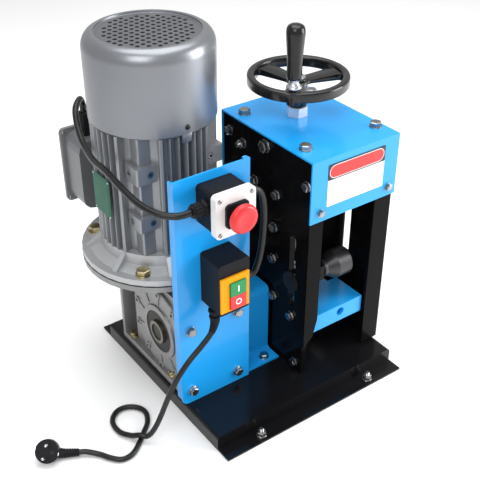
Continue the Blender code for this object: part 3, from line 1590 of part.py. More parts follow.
def terminal_box(machine):
    left = LID_LEFT + TERMINAL_INSET
    right = LID_RIGHT - TERMINAL_INSET
    low = LID_LOW + TERMINAL_INSET
    high = LID_HIGH - TERMINAL_INSET
    corner = LID_CORNER - TERMINAL_INSET / 2
    back = LID_FRONT - GAP
    body = slab(rounded(left, right, low, high, corner), "Y", TERMINAL_FOOT_BACK, back)
    origin = (WORM_X, TERMINAL_FRONT, (low + high) / 2)
    shell = put("terminal_box", body, SILVER, machine, origin)
    foot_x = (right - left) / 4
    foot = box(
        (WORM_X - foot_x, TERMINAL_FRONT, low + LID_CORNER),
        (WORM_X + foot_x, TERMINAL_FOOT_BACK + OVERLAP, high - LID_CORNER),
    )
    fuse(shell, foot)
    wall = TERMINAL_WALL
    room = rounded(left + wall, right - wall, low + wall, high - wall, corner - wall)
    cut(shell, slab(room, "Y", TERMINAL_FOOT_BACK + wall, back + PAST))


def terminal_lid(machine):
    outline = rounded(LID_LEFT, LID_RIGHT, LID_LOW, LID_HIGH, LID_CORNER)
    origin = (WORM_X, LID_FRONT, (LID_LOW + LID_HIGH) / 2)
    put("terminal_lid", slab(outline, "Y", LID_FRONT, LID_BACK), SILVER, machine, origin)


def terminal_gland(machine):
    low = LID_HIGH - TERMINAL_INSET + GAP
    profile = (
        (0, low),
        (GLAND_NUT_R, low),
        (GLAND_NUT_R, low + GLAND_BASE),
        (GLAND_R, low + GLAND_BASE),
        (GLAND_R, low + GLAND_HIGH - PAST),
        (CABLE_R + PAST, low + GLAND_HIGH),
        (0, low + GLAND_HIGH),
    )
    bm = turned(profile, (GLAND_X, GLAND_Y, 0), "Z", TINY)
    put("terminal_gland", bm, PLASTIC, machine, (GLAND_X, GLAND_Y, low))


def control_panel(machine):
    corner = (PANEL_LEFT + PANEL_CORNER, GAP + PANEL_CORNER)
    outline = arc(corner, PANEL_CORNER, math.pi, math.pi * 1.5, CORNER_STEPS)
    outline += [
        (PANEL_RIGHT, GAP),
        (PANEL_RIGHT, PANEL_HIGH),
        (PANEL_RIGHT - PANEL_TAB / 2, PANEL_TAB_HIGH),
        (PANEL_RIGHT - PANEL_TAB, PANEL_TAB_HIGH),
        (PANEL_RIGHT - PANEL_TAB, PANEL_HIGH),
        (PANEL_LEFT, PANEL_HIGH),
    ]
    back = PANEL_FRONT + PANEL_SHEET
    bm = slab(outline, "Y", PANEL_FRONT, back)
    panel = put("control_panel", bm, BLUE, machine, (PANEL_LEFT, PANEL_FRONT, GAP))
    low = (PANEL_LEFT, back - OVERLAP, GAP + PANEL_CORNER)
    high = (PANEL_LEFT + PANEL_SHEET, PANEL_FRONT + PANEL_RETURN, PANEL_HIGH - PANEL_SHEET)
    fuse(panel, box(low, high))


def guard_path():
    """The middle line of the bent sheet, as (y, z) points from the front foot to the back one."""
    foot = GAP + PANEL_SHEET / 2
    roof = GUARD_HIGH - PANEL_SHEET / 2
    front = GUARD_FRONT + PANEL_SHEET / 2
    back = GUARD_BACK - PANEL_SHEET / 2
    bend = GUARD_BEND
    path = [(GUARD_FOOT_FRONT, foot)]
    path += arc((front - bend, foot + bend), bend, -math.pi / 2, 0, CORNER_STEPS)
    path += arc((front + bend, roof - bend), bend, math.pi, math.pi / 2, CORNER_STEPS)
    path += arc((back - bend, roof - bend), bend, math.pi / 2, 0, CORNER_STEPS)
    path += arc((back + bend, foot + bend), bend, math.pi, math.pi * 1.5, CORNER_STEPS)
    path.append((GUARD_FOOT_BACK, foot))
    return [Vector(point) for point in path]


def offset_path(path, distance):
    """The path moved sideways by a distance, to its left."""
    moved = []
    for i, point in enumerate(path):
        ahead = path[min(i + 1, len(path) - 1)] - point
        behind = point - path[max(i - 1, 0)]
        along = (ahead.normalized() + behind.normalized()).normalized()
        lean = max(along.dot(ahead.normalized()), along.dot(behind.normalized()))
        side = Vector((-along.y, along.x))
        moved.append(tuple(point + side * distance / lean))
    return moved


def shaft_guard(machine):
    path = guard_path()
    outline = offset_path(path, PANEL_SHEET / 2) + offset_path(path, -PANEL_SHEET / 2)[::-1]
    bm = slab(outline, "X", GUARD_LEFT, GUARD_RIGHT)
    put("shaft_guard", bm, BLUE, machine, (GUARD_LEFT, GUARD_FOOT_FRONT, GAP))


def square_about(half):
    return rounded(STOP_X - half, STOP_X + half, STOP_Z - half, STOP_Z + half, STOP_CORNER)


def estop_base(machine):
    back = PANEL_FRONT - GAP
    origin = (STOP_X, back, STOP_Z)
    bm = slab(square_about(STOP_BASE_HALF), "Y", STOP_BASE_FRONT, back)
    base = put("estop_base", bm, PLASTIC, machine, origin)
    left_end = STOP_X - STOP_BASE_HALF + OVERLAP
    right_end = STOP_X + STOP_BASE_HALF - OVERLAP
    left_centre = (0, SIDE_GLAND_Y, SIDE_GLAND_LEFT_Z)
    right_centre = (0, SIDE_GLAND_Y, SIDE_GLAND_RIGHT_Z)
    left = rod(SIDE_GLAND_R, SIDE_GLAND_LEFT, left_end, left_centre, "X", TINY)
    right = rod(SIDE_GLAND_R, right_end, SIDE_GLAND_RIGHT, right_centre, "X", TINY)
    fuse(base, shells(left, right))
    low = STOP_BASE_FRONT - PAST
    room = square_about(STOP_BASE_HALF - STOP_WALL)
    cut(base, slab(room, "Y", low, back - STOP_WALL))


def estop_cover(machine):
    back = STOP_BASE_FRONT - GAP
    origin = (STOP_X, back, STOP_Z)
    bm = slab(square_about(STOP_COVER_HALF), "Y", STOP_COVER_FRONT, back)
    cover = put("estop_cover", bm, WHITE, machine, origin)
    room = square_about(STOP_COVER_HALF - STOP_WALL)
    cut(cover, slab(room, "Y", STOP_COVER_FRONT + STOP_WALL, back + PAST))
    centre = (STOP_X, 0, STOP_Z)
    cut(cover, rod(STOP_HOLE_R, STOP_COVER_FRONT - PAST, back, centre, "Y", SMALL))


def estop_collar(machine):
    back = STOP_COVER_FRONT - GAP
    origin = (STOP_X, back, STOP_Z)
    bm = slab(square_about(COLLAR_HALF), "Y", COLLAR_FRONT, back)
    collar = put("estop_collar", bm, PLASTIC, machine, origin)
    centre = (STOP_X, 0, STOP_Z)
    hole_r = PLUNGER_R + RUN_GAP
    cut(collar, rod(hole_r, COLLAR_FRONT - PAST, back + PAST, centre, "Y", SMALL))


def estop_plunger(push):
    front = MUSHROOM_BACK + GAP
    bm = rod(PLUNGER_R, front, PLUNGER_BACK, (STOP_X, 0, STOP_Z), "Y", SMALL)
    put("estop_plunger", bm, PLASTIC, push)


def estop_button(twist):
    dish = MUSHROOM_FRONT + MUSHROOM_DISH
    profile = (
        (0, dish),
        (MUSHROOM_DISH_R, dish),
        (MUSHROOM_DISH_R + OVERLAP, MUSHROOM_FRONT),
        (MUSHROOM_R - 2 * PAST, MUSHROOM_FRONT),
        (MUSHROOM_R - OVERLAP, MUSHROOM_FRONT + OVERLAP + MUSHROOM_DISH),
        (MUSHROOM_R, MUSHROOM_FRONT + 2 * PAST),
        (MUSHROOM_R - OVERLAP / 2, MUSHROOM_BACK - PAST),
        (MUSHROOM_R - PAST, MUSHROOM_BACK),
        (0, MUSHROOM_BACK),
    )
    put("estop_button", turned(profile, (STOP_X, 0, STOP_Z), "Y"), RED, twist)


def switch_body(machine):
    back = PANEL_FRONT - GAP
    outline = rounded(SWITCH_LEFT, SWITCH_RIGHT, SWITCH_LOW, SWITCH_HIGH, SWITCH_CORNER)
    origin = (SWITCH_LEFT, back, SWITCH_LOW)
    bm = slab(outline, "Y", SWITCH_FRONT, back)
    body = put("switch_body", bm, PLASTIC, machine, origin)
    low = (BUTTON_LEFT - BUTTON_SIDE_GAP, SWITCH_FRONT - PAST, BUTTON_LOW - BUTTON_SIDE_GAP)
    high = (BUTTON_RIGHT + BUTTON_SIDE_GAP, POCKET_BACK, BUTTON_HIGH + BUTTON_SIDE_GAP)
    cut(body, box(low, high))
    centre = (0, SIDE_GLAND_Y + PAST * 2, LINK_CABLE_ROUTE[-1][2])
    end = SWITCH_RIGHT + SWITCH_GLAND_LONG
    fuse(body, rod(SIDE_GLAND_R, SWITCH_RIGHT - OVERLAP, end, centre, "X", TINY))


def switch_bezel(machine):
    back = SWITCH_FRONT - GAP
    outline = rectangle(BEZEL_LEFT, BEZEL_RIGHT, BEZEL_LOW, BEZEL_HIGH)
    origin = (BEZEL_LEFT, back, BEZEL_LOW)
    bezel = put("switch_bezel", slab(outline, "Y", BEZEL_FRONT, back), YELLOW, machine, origin)
    side = BUTTON_SIDE_GAP
    low = (BUTTON_LEFT - side, BEZEL_FRONT - PAST, BUTTON_LOW - side)
    high = (BUTTON_RIGHT + side, back + PAST, BUTTON_HIGH + side)
    cut(bezel, box(low, high))


def switch_button(name, low, high, finish, push):
    bm = box((BUTTON_LEFT, BUTTON_FRONT, low), (BUTTON_RIGHT, BUTTON_BACK, high))
    put(name, bm, finish, push)


def cord_gland(machine):
    reach = CORD_GLAND_HIGH - CORD_GLAND_LOW
    profile = (
        (0, CORD_GLAND_LOW),
        (CORD_RELIEF_R, CORD_GLAND_LOW),
        (CORD_RELIEF_R + OVERLAP, CORD_GLAND_HIGH - reach / 2),
        (CORD_GLAND_R, CORD_GLAND_HIGH - reach / 3),
        (CORD_GLAND_R, CORD_GLAND_HIGH),
        (0, CORD_GLAND_HIGH),
    )
    bm = turned(profile, (CORD_GLAND_X, CORD_GLAND_Y, 0), "Z", TINY)
    put("cord_gland", bm, PLASTIC, machine, (CORD_GLAND_X, CORD_GLAND_Y, CORD_GLAND_HIGH))


def plug_normal():
    flat = math.cos(PLUG_ELEVATION)
    x = math.sin(PLUG_AZIMUTH) * flat
    return Vector((x, -math.cos(PLUG_AZIMUTH) * flat, math.sin(PLUG_ELEVATION)))


def turned_between(profile, start, direction, steps):
    """A turned piece whose axis points any way."""
    bm = turned(profile, (0, 0, 0), "Z", steps)
    turn = Vector((0, 0, 1)).rotation_difference(direction).to_matrix().to_4x4()
    bmesh.ops.transform(bm, matrix=Matrix.Translation(start) @ turn, verts=bm.verts)
    return bm


def plug_body(machine):
    normal = plug_normal()
    half = PLUG_THICK / 2
    drop = PLUG_R * math.cos(PLUG_ELEVATION) + half * math.sin(PLUG_ELEVATION)
    centre = Vector((PLUG_X, PLUG_Y, GAP - BASE_HEIGHT + drop))
    edge = PLUG_R - PLUG_EDGE
    profile = (
        (0, -half),
        (edge, -half),
        (PLUG_R, PLUG_EDGE - half),
        (PLUG_R, half - PLUG_EDGE),
        (edge, half),
        (0, half),
    )
    bm = turned_between(profile, centre, normal, ROUND)
    plug = put("plug_body", bm, RUBBER, machine, centre)
    away = spoke_direction(RELIEF_TURN)
    end = Vector((RELIEF_X, RELIEF_Y, RELIEF_Z)) - away * RELIEF_LONG
    run = (end - centre).length
    neck = (
        (0, PLUG_THICK / 2),
        (PLUG_NECK_R, PLUG_THICK / 2),
        (RELIEF_FOOT_R, run),
        (0, run),
    )
    fuse(plug, turned_between(neck, centre, end - centre, TINY))
    relief = (
        (0, -PAST),
        (RELIEF_FOOT_R, -PAST),
        (CORD_RELIEF_R, RELIEF_LONG),
        (0, RELIEF_LONG),
    )
    fuse(plug, turned_between(relief, end, away, TINY))
    apart = normal.cross(end - centre).normalized() * PIN_APART
    pin = ((0, half - PAST), (PIN_R, half - PAST), (PIN_R, half + PIN_LONG), (0, half + PIN_LONG))
    one = turned_between(pin, centre + apart, normal, TINY)
    other = turned_between(pin, centre - apart, normal, TINY)
    fuse(plug, shells(one, other))


def machine_empty():
    """The whole machine hangs on this empty, which puts its middle over the origin."""
    made = bpy.data.objects.new(MACHINE, None)
    bpy.context.scene.collection.objects.link(made)
    low_x = WORM_X - FLANGE_R
    middle_x = (low_x + SHAFT_RIGHT) / 2
    made.location = (-middle_x, (LIP_WIDTH - LID_BACK) / 2, BASE_HEIGHT)
    return made


def build_frame(machine):
    base_pan(machine)
    left_side_plate(machine)
    right_side_plate(machine)
    top_plate(machine)
    top_cover(machine)
    front_rails(machine)
    feed_guide_block(machine)
    main_bearings(machine)


def build_head(machine):
    turn = joint_empty("screw_axis", (SCREW_X, SCREW_Y, HUB_LOW), machine)
    adjusting_screw(turn)
    screw_nut(turn)
    handwheel(turn)
    handle_spindle(turn)
    handle_grip(joint_empty("grip_axis", grip_centre() + Vector((0, 0, GRIP_LOW)), turn))
    slide = joint_empty("carriage_slide", (SCREW_X, SCREW_Y, LEAD_NUT_LOW), machine)
    blade_carriage(slide)
    lead_nut(slide)
    blade_bearings(slide)
    guide_axle(slide)
    blade_turn = joint_empty("blade_axis", (SCREW_X, OUTPUT_Y, BLADE_Z), slide)
    blade_shaft(blade_turn)
    cutting_blade(blade_turn)
    blade_clamp(blade_turn)
    guide_roller(joint_empty("roller_axis", (SCREW_X, SLOT_Y, ROLLER_Z), slide))


def build_drive(machine):
    output_turn = joint_empty("output_axis", (WORM_X, OUTPUT_Y, OUTPUT_Z), machine)
    main_shaft(output_turn)
    feed_wheel(output_turn)
    hollow_output_shaft(output_turn)
    worm_wheel(output_turn)
    gearbox_housing(machine)
    for side, face, outward in (("left", BOX_LEFT, -1), ("right", BOX_RIGHT, 1)):
        gearbox_cover(machine, "gearbox_cover_" + side, face, outward)
        oil_seal(machine, "oil_seal_" + side, face, outward)
    input_flange(machine)
    rotor_turn = joint_empty("rotor_axis", (WORM_X, WORM_Y, STATOR_LOW), machine)
    worm_shaft(rotor_turn)
    rotor(rotor_turn)
    cooling_fan(rotor_turn)
    motor_flange(machine)
    stator_housing(machine)
    rear_shield(machine)
    fan_cover(machine)
    terminal_box(machine)
    terminal_lid(machine)
    terminal_gland(machine)
    tube("motor_cable", MOTOR_CABLE_ROUTE, CABLE_R, CABLE_STEP, 2, machine)


def build_controls(machine):
    control_panel(machine)
    shaft_guard(machine)
    estop_base(machine)
    estop_cover(machine)
    estop_collar(machine)
    push = joint_empty("estop_push", (STOP_X, MUSHROOM_BACK, STOP_Z), machine)
    estop_plunger(push)
    estop_button(joint_empty("estop_twist", (STOP_X, MUSHROOM_BACK, STOP_Z), push))
    tube("link_cable", LINK_CABLE_ROUTE, CABLE_R, CABLE_STEP, 2, machine)
    switch_body(machine)
    switch_bezel(machine)
    split = BUTTON_SIDE_GAP / 2
    middle_x = (BUTTON_LEFT + BUTTON_RIGHT) / 2
    start = joint_empty("start_push", (middle_x, BUTTON_FRONT, BUTTON_SPLIT), machine)
    switch_button("start_button", BUTTON_SPLIT + split, BUTTON_HIGH, GREEN, start)
    stop = joint_empty("stop_push", (middle_x, BUTTON_FRONT, BUTTON_LOW), machine)
    switch_button("stop_button", BUTTON_LOW, BUTTON_SPLIT - split, RED, stop)
    cord_gland(machine)
    tube("mains_cord", MAINS_ROUTE, CORD_R, CORD_STEP, 2, machine)
    plug_body(machine)


def build():
    clear_scene()
    machine = machine_empty()
    build_frame(machine)
    build_head(machine)
    build_drive(machine)
    build_controls(machine)


build()
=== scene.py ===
"""How the cable stripping machine looks: camera, light, materials and the fine pieces.
Lengths are metres. Places are given in the machine's own frame, whose heights count from
the base's top face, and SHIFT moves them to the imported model's frame."""

from math import asin, cos, hypot, pi, radians, sin, sqrt, tau

import bmesh
import bpy
from mathutils import Matrix, Vector
from mathutils.geometry import tessellate_polygon


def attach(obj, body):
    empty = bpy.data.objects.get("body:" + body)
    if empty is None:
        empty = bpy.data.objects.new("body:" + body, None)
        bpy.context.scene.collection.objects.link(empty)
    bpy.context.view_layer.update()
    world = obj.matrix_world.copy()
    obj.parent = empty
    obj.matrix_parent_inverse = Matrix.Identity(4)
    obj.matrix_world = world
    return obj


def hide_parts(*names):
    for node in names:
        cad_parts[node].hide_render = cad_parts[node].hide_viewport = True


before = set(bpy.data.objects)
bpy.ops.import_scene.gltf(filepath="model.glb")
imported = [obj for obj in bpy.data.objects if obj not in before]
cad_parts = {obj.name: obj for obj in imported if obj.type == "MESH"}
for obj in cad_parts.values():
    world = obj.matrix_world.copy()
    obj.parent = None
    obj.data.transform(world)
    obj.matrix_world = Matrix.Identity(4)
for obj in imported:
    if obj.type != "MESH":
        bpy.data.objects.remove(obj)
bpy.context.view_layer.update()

BASE_HEIGHT = 0.027
# From the machine's frame to the model's
SHIFT = Vector((-0.15175, -0.19455, BASE_HEIGHT))
# Clearance between pieces that fit each other
GAP = 0.0003

# Camera of the photograph
CAMERA_PLACE = (-0.67285, -0.97745, 0.9969)
CAMERA_AZIMUTH = radians(-35.7)
CAMERA_ELEVATION = radians(33.1)
FOCAL_PIXELS = 871.6
FRAME_PIXELS = 480
SENSOR_MM = 36
CLIP_START = 0.05
CLIP_END = 50

FLOOR_SIZE = 6
FLOOR_DROP = 0.0006
SKY_STRENGTH = 0.58
# Each lamp's name, place, aim, size and power
LAMPS = (
    ("key", (-1.6, -1.3, 1.9), (0, 0, 0.25), (1.4, 1.4), 26),
    ("top", (0.2, 0.1, 2.3), (0, 0, 0.2), (2.0, 2.0), 42),
    ("side", (1.7, -1.2, 0.8), (0, 0, 0.3), (1.0, 1.4), 38),
)

# Where the output shaft stands in y and z, and the upright axes of motor and screw
OUTPUT = (0.177, 0.086)
MOTOR = (0.064, 0.252)
MOTOR_AXIS = Vector((*MOTOR, 0))
SCREW_AXIS = Vector((0.275, 0.1735, 0))

LEFT = (-1, 0, 0)
RIGHT = (1, 0, 0)
FRONT = (0, -1, 0)
UP = (0, 0, 1)
DOWN = (0, 0, -1)
AXIS_OF = {LEFT: "X", RIGHT: "X", FRONT: "Y", UP: "Z"}


def at(x, y, z):
    return Vector((x, y, z)) + SHIFT


def spoke(angle):
    return Vector((cos(angle), sin(angle), 0))


def facing(elevation):
    """The way from the machine toward the camera's side, at an elevation."""
    flat = cos(elevation)
    return Vector((sin(CAMERA_AZIMUTH) * flat, -cos(CAMERA_AZIMUTH) * flat, sin(elevation)))


def raised(height):
    return Vector((0, 0, height))


def set_inputs(node, values):
    for name, value in values.items():
        node.inputs[name].default_value = value


def placed(name, data):
    obj = bpy.data.objects.new(name, data)
    bpy.context.scene.collection.objects.link(obj)
    return obj


# Camera, floor and light


def make_camera():
    data = bpy.data.cameras.new("photo_camera")
    data.sensor_fit = "HORIZONTAL"
    data.sensor_width = SENSOR_MM
    data.lens = FOCAL_PIXELS / FRAME_PIXELS * SENSOR_MM
    data.clip_start = CLIP_START
    data.clip_end = CLIP_END
    camera = placed("photo_camera", data)
    back = facing(CAMERA_ELEVATION)
    right = spoke(CAMERA_AZIMUTH)
    up = back.cross(right)
    turn = Matrix((right, up, back)).transposed().to_4x4()
    camera.matrix_world = Matrix.Translation(CAMERA_PLACE) @ turn
    bpy.context.scene.camera = camera


def make_floor():
    bm = bmesh.new()
    bmesh.ops.create_grid(bm, x_segments=1, y_segments=1, size=FLOOR_SIZE)
    mesh = bpy.data.meshes.new("floor")
    bm.to_mesh(mesh)
    bm.free()
    floor = placed("floor", mesh)
    floor.location.z = -FLOOR_DROP
    mesh.materials.append(floor_material())


def area_light(name, place, aim, size, power):
    data = bpy.data.lights.new(name, "AREA")
    data.shape = "RECTANGLE"
    data.size = size[0]
    data.size_y = size[1]
    data.energy = power
    light = placed(name, data)
    light.location = place
    light.rotation_mode = "QUATERNION"
    light.rotation_quaternion = (Vector(aim) - Vector(place)).to_track_quat("-Z", "Y")


def make_lights():
    bpy.context.scene.view_settings.view_transform = "Standard"
    world = bpy.data.worlds.new("studio")
    bpy.context.scene.world = world
    world.use_nodes = True
    sky = world.node_tree.nodes["Background"]
    set_inputs(sky, {"Color": (1, 1, 1, 1), "Strength": SKY_STRENGTH})
    for lamp in LAMPS:
        area_light(*lamp)


# Materials


class Nodes:
    """A material's node tree, with short calls to add and join nodes."""

    def __init__(self, name):
        self.material = bpy.data.materials.new(name)
        self.material.use_nodes = True
        self.tree = self.material.node_tree
        self.shader = self.tree.nodes["Principled BSDF"]

    def add(self, kind, values):
        node = self.tree.nodes.new(kind)
        set_inputs(node, values)
        return node

    def join(self, one, out, other, into):
        self.tree.links.new(one.outputs[out], other.inputs[into])

    def noise(self, scale, detail, roughness=0.55, stretch=(1, 1, 1)):
        place = self.add("ShaderNodeTexCoord", {})
        mapping = self.add("ShaderNodeMapping", {"Scale": stretch})
        noise = self.add("ShaderNodeTexNoise", {"Scale": scale, "Detail": detail, "Roughness": roughness})
        self.join(place, "Object", mapping, "Vector")
        self.join(mapping, "Vector", noise, "Vector")
        return noise

    def after(self, noise, kind, into, values):
        """A new node that takes the noise into one of its inputs."""
        node = self.add(kind, values)
        self.join(noise, "Fac", node, into)
        return node

    def tint(self, noise, colours):
        """Gives the shader a colour that drifts with the noise between two."""
        ramp = self.after(noise, "ShaderNodeValToRGB", "Fac", {})
        for element, place, colour in zip(ramp.color_ramp.elements, RAMP_ENDS, colours):
            element.position = place
            element.color = (*colour, 1)
        self.join(ramp, "Color", self.shader, "Base Color")


RAMP_ENDS = (0.3, 0.7)
COAT_ROUGH = 0.08
ROUGH_DRIFT = 0.06


def shade(colour, factor):
    return tuple(min(1, channel * factor) for channel in colour)


def surface(name, colour, rough, texture, metal=0, coat=0, gleam=0.5, stretch=(1, 1, 1)):
    """A finish whose colour, gloss and relief all drift a little over the surface."""
    drift, mottle, grain, bump, depth = texture
    made = Nodes(name)
    made.tint(made.noise(mottle, 4), (shade(colour, 1 - drift), shade(colour, 1 + drift)))
    fine = made.noise(grain, 3, 0.6, stretch)
    span = {"To Min": rough - ROUGH_DRIFT, "To Max": rough + ROUGH_DRIFT}
    gloss = made.after(fine, "ShaderNodeMapRange", "Value", span)
    made.join(gloss, "Result", made.shader, "Roughness")
    relief = made.after(fine, "ShaderNodeBump", "Height", {"Strength": bump, "Distance": depth})
    made.join(relief, "Normal", made.shader, "Normal")
    set_inputs(made.shader, {"Metallic": metal, "Coat Weight": coat, "Coat Roughness": COAT_ROUGH,
                             "Specular IOR Level": gleam})
    return made.material


FLOOR_TONES = ((0.95, 0.95, 0.95), (0.97, 0.97, 0.97))


def floor_material():
    made = Nodes("floor_paper")
    made.tint(made.noise(1.5, 2), FLOOR_TONES)
    set_inputs(made.shader, {"Roughness": 0.7})
    return made.material


# A texture is its colour drift, mottle scale, grain scale, bump strength and bump depth
GLOSS = (0.12, 8, 700, 0.05, 0.0002)
SPRAYED = (0.05, 9, 650, 0.10, 0.0003)
SPRAYED_CAST = (0.06, 9, 650, 0.12, 0.0003)
WORKED = (0.12, 30, 300, 0.14, 0.0002)
KEY = (0.05, 20, 1000, 0.08, 0.0002)
PRINT = (0.05, 20, 900, 0.03, 0.0001)
PRINT_WHITE = (0.02, 20, 900, 0.03, 0.0001)

BLUE = surface("blue_coat", (0.010, 0.325, 0.80), 0.30,
               (0.05, 6, 900, 0.05, 0.0002), coat=0.25, gleam=0.35)
BLACK = surface("black_coat", (0.0050, 0.0050, 0.0056), 0.14, GLOSS, gleam=0.09)
BLACK_BASE = surface("black_base", (0.0058, 0.0058, 0.0066), 0.19, GLOSS, gleam=0.25)
BLACK_PLATE = surface("black_plate", (0.0034, 0.0034, 0.0038), 0.14, GLOSS, gleam=0.05)
BLACK_CAST = surface("black_cast", (0.006, 0.006, 0.0065), 0.22,
                     (0.2, 20, 500, 0.12, 0.0003), coat=0.2, gleam=0.4)
SATIN = surface("satin_black", (0.028, 0.028, 0.031), 0.33,
                (0.12, 20, 500, 0.10, 0.0003), 0.2, gleam=0.6)
SILVER = surface("silver_paint", (0.235, 0.245, 0.265), 0.32, SPRAYED, 0.72)
# The flange's silver is a lighter copy of the silver paint, painted light: its top faces the lamps above.
SILVER_FLANGE_PAINTED_LIGHT = surface("silver_flange_painted_light", (0.44, 0.45, 0.46), 0.38, SPRAYED, 0.45)
SILVER_CAST = surface("silver_casting", (0.27, 0.28, 0.295), 0.36, SPRAYED_CAST, 0.52)
# The terminal box's silver is a darker copy of the silver paint, painted shade: the box faces away from the
# light.
SILVER_BOX_PAINTED_SHADE = surface("silver_box_painted_shade", (0.17, 0.175, 0.185), 0.38, SPRAYED_CAST, 0.45)
# The grille's silver is a darker copy of the silver paint, painted shade for the dark inside seen through
# its holes.
SILVER_GRILLE_PAINTED_SHADE = surface("silver_grille_painted_shade", (0.13, 0.135, 0.145), 0.42, (0.06, 9, 650, 0.10, 0.0003), 0.5)
CAST = surface("cast_alloy", (0.27, 0.27, 0.27), 0.40, (0.10, 26, 300, 0.35, 0.0006), 0.7)
STEEL = surface("turned_steel", (0.42, 0.42, 0.43), 0.26,
                (0.08, 18, 260, 0.12, 0.0002), 1, stretch=(1, 14, 14))
DARK_STEEL = surface("dark_steel", (0.022, 0.021, 0.018), 0.36, WORKED, 0.6)
OLIVE_STEEL = surface("oiled_steel", (0.19, 0.18, 0.14), 0.34, WORKED, 0.9)
ZINC = surface("zinc_plate", (0.62, 0.63, 0.65), 0.24, (0.08, 60, 600, 0.10, 0.0002), 1)
# The nut's finish is a lighter, less metallic copy of zinc: its own light tone and a painted highlight for
# its white facets.
NUT_ZINC_LIT = surface("nut_zinc_painted_highlight", (0.78, 0.79, 0.80), 0.32, (0.06, 60, 600, 0.10, 0.0002), 0.45)
BOLT = surface("bolt_steel", (0.34, 0.34, 0.34), 0.26, (0.16, 60, 600, 0.12, 0.0002), 1)
YELLOW_ZINC = surface("yellow_zinc", (0.42, 0.35, 0.20), 0.30, (0.16, 70, 600, 0.10, 0.0002), 1)
BRONZE = surface("bronze", (0.50, 0.31, 0.12), 0.32, (0.10, 40, 500, 0.10, 0.0002), 1)
SHEATH = surface("cable_sheath", (0.0075, 0.0075, 0.008), 0.34,
                 (0.12, 30, 900, 0.08, 0.0002), gleam=0.35)
MOULDED = surface("black_moulding", (0.010, 0.010, 0.012), 0.42,
                  (0.12, 20, 1300, 0.20, 0.0002), gleam=0.10)
GRIP = surface("grip_moulding", (0.006, 0.006, 0.0065), 0.20,
               (0.12, 20, 700, 0.05, 0.0002), coat=0.1, gleam=0.35)
SEAL = surface("seal_rubber", (0.010, 0.008, 0.006), 0.34, (0.15, 40, 900, 0.12, 0.0002), gleam=0.2)
WHITE = surface("white_moulding", (0.74, 0.74, 0.73), 0.36, (0.03, 12, 1300, 0.14, 0.0002))
YELLOW = surface("yellow_moulding", (0.80, 0.315, 0.004), 0.38,
                 (0.05, 20, 1300, 0.14, 0.0002), gleam=0.12)
RED = surface("red_moulding", (0.68, 0.030, 0.034), 0.30, KEY, coat=0.1, gleam=0.35)
GREEN = surface("green_moulding", (0.008, 0.24, 0.070), 0.30, KEY, coat=0.1, gleam=0.35)
PLATE_GREEN = surface("green_plate", (0.012, 0.105, 0.062), 0.36,
                      (0.10, 40, 600, 0.06, 0.0002), gleam=0.12)
LABEL_WHITE = surface("label_white", (0.84, 0.84, 0.84), 0.30, PRINT_WHITE)
LABEL_DARK = surface("label_dark", (0.010, 0.010, 0.011), 0.30, PRINT)
LABEL_RED = surface("label_red", (0.62, 0.020, 0.022), 0.30, PRINT)
INK_WHITE = surface("ink_white", (0.86, 0.86, 0.86), 0.40, PRINT_WHITE)
# Painted shade: a flat near-black for the dark discs and rings that stand for the shade in recesses,
# sockets, holes and joints.
SHADE_PAINT_BLACK = surface("shade_painted_black", (0.006, 0.006, 0.007), 0.70, (0.15, 20, 500, 0.20, 0.0003))

NODE_FINISHES = (
    (BLUE, ("top_cover", "feed_guide_block", "control_panel", "shaft_guard")),
    (BLACK, ("top_plate", "rail_left_front", "rail_right_front", "blade_carriage")),
    (BLACK_BASE, ("base_pan",)),
    (BLACK_PLATE, ("left_side_plate", "right_side_plate")),
    (BLACK_CAST, ("handwheel",)),
    (SATIN, ("guide_roller",)),
    (SILVER_FLANGE_PAINTED_LIGHT, ("motor_flange",)),
    (SILVER, ("rear_shield", "fan_cover")),
    (SILVER_CAST, ("stator_housing",)),
    (SILVER_BOX_PAINTED_SHADE, ("terminal_box", "terminal_lid")),
    (CAST, ("gearbox_housing", "gearbox_cover_left", "gearbox_cover_right", "input_flange")),
    (STEEL, ("adjusting_screw", "handle_spindle", "blade_shaft", "cutting_blade", "blade_clamp",
             "blade_bearing_left", "blade_bearing_right", "feed_wheel", "worm_shaft", "rotor")),
    (DARK_STEEL, ("main_shaft", "main_bearing_left", "main_bearing_right", "guide_axle")),
    (OLIVE_STEEL, ("hollow_output_shaft",)),
    (NUT_ZINC_LIT, ("screw_nut",)),
    (BRONZE, ("lead_nut", "worm_wheel")),
    (SEAL, ("oil_seal_left", "oil_seal_right")),
    (SHEATH, ("motor_cable", "link_cable", "mains_cord", "plug_body")),
    (MOULDED, ("estop_base", "estop_collar", "estop_plunger", "switch_body", "cord_gland",
               "terminal_gland", "cooling_fan")),
    (GRIP, ("handle_grip",)),
    (WHITE, ("estop_cover",)),
    (YELLOW, ("switch_bezel",)),
    (RED, ("estop_button", "stop_button")),
    (GREEN, ("start_button",)),
)

# How wide the long straight edges of each node are rounded
EDGES = {
    0.0006: ("rail_left_front", "rail_right_front", "guide_roller", "guide_axle", "screw_nut"),
    0.0008: ("shaft_guard", "top_plate", "switch_bezel"),
    0.0009: ("control_panel",),
    0.0010: ("left_side_plate", "right_side_plate", "estop_collar", "start_button", "stop_button",
             "blade_carriage"),
    0.0012: ("top_cover", "terminal_box"),
    0.0014: ("feed_guide_block",),
    0.0015: ("base_pan", "estop_base"),
    0.0016: ("terminal_lid",),
    0.0018: ("estop_cover",),
    0.0020: ("switch_body",),
}
BEVEL_ANGLE = radians(40)
NODE_BEVEL_STEPS = 3
PIECE_BEVEL_STEPS = 2


def smooth(obj, angle=35):
    """Round forms shade smooth, and edges sharper than the angle stay crisp."""
    for polygon in obj.data.polygons:
        polygon.use_smooth = True
    split = obj.modifiers.new("crisp", "EDGE_SPLIT")
    split.split_angle = radians(angle)


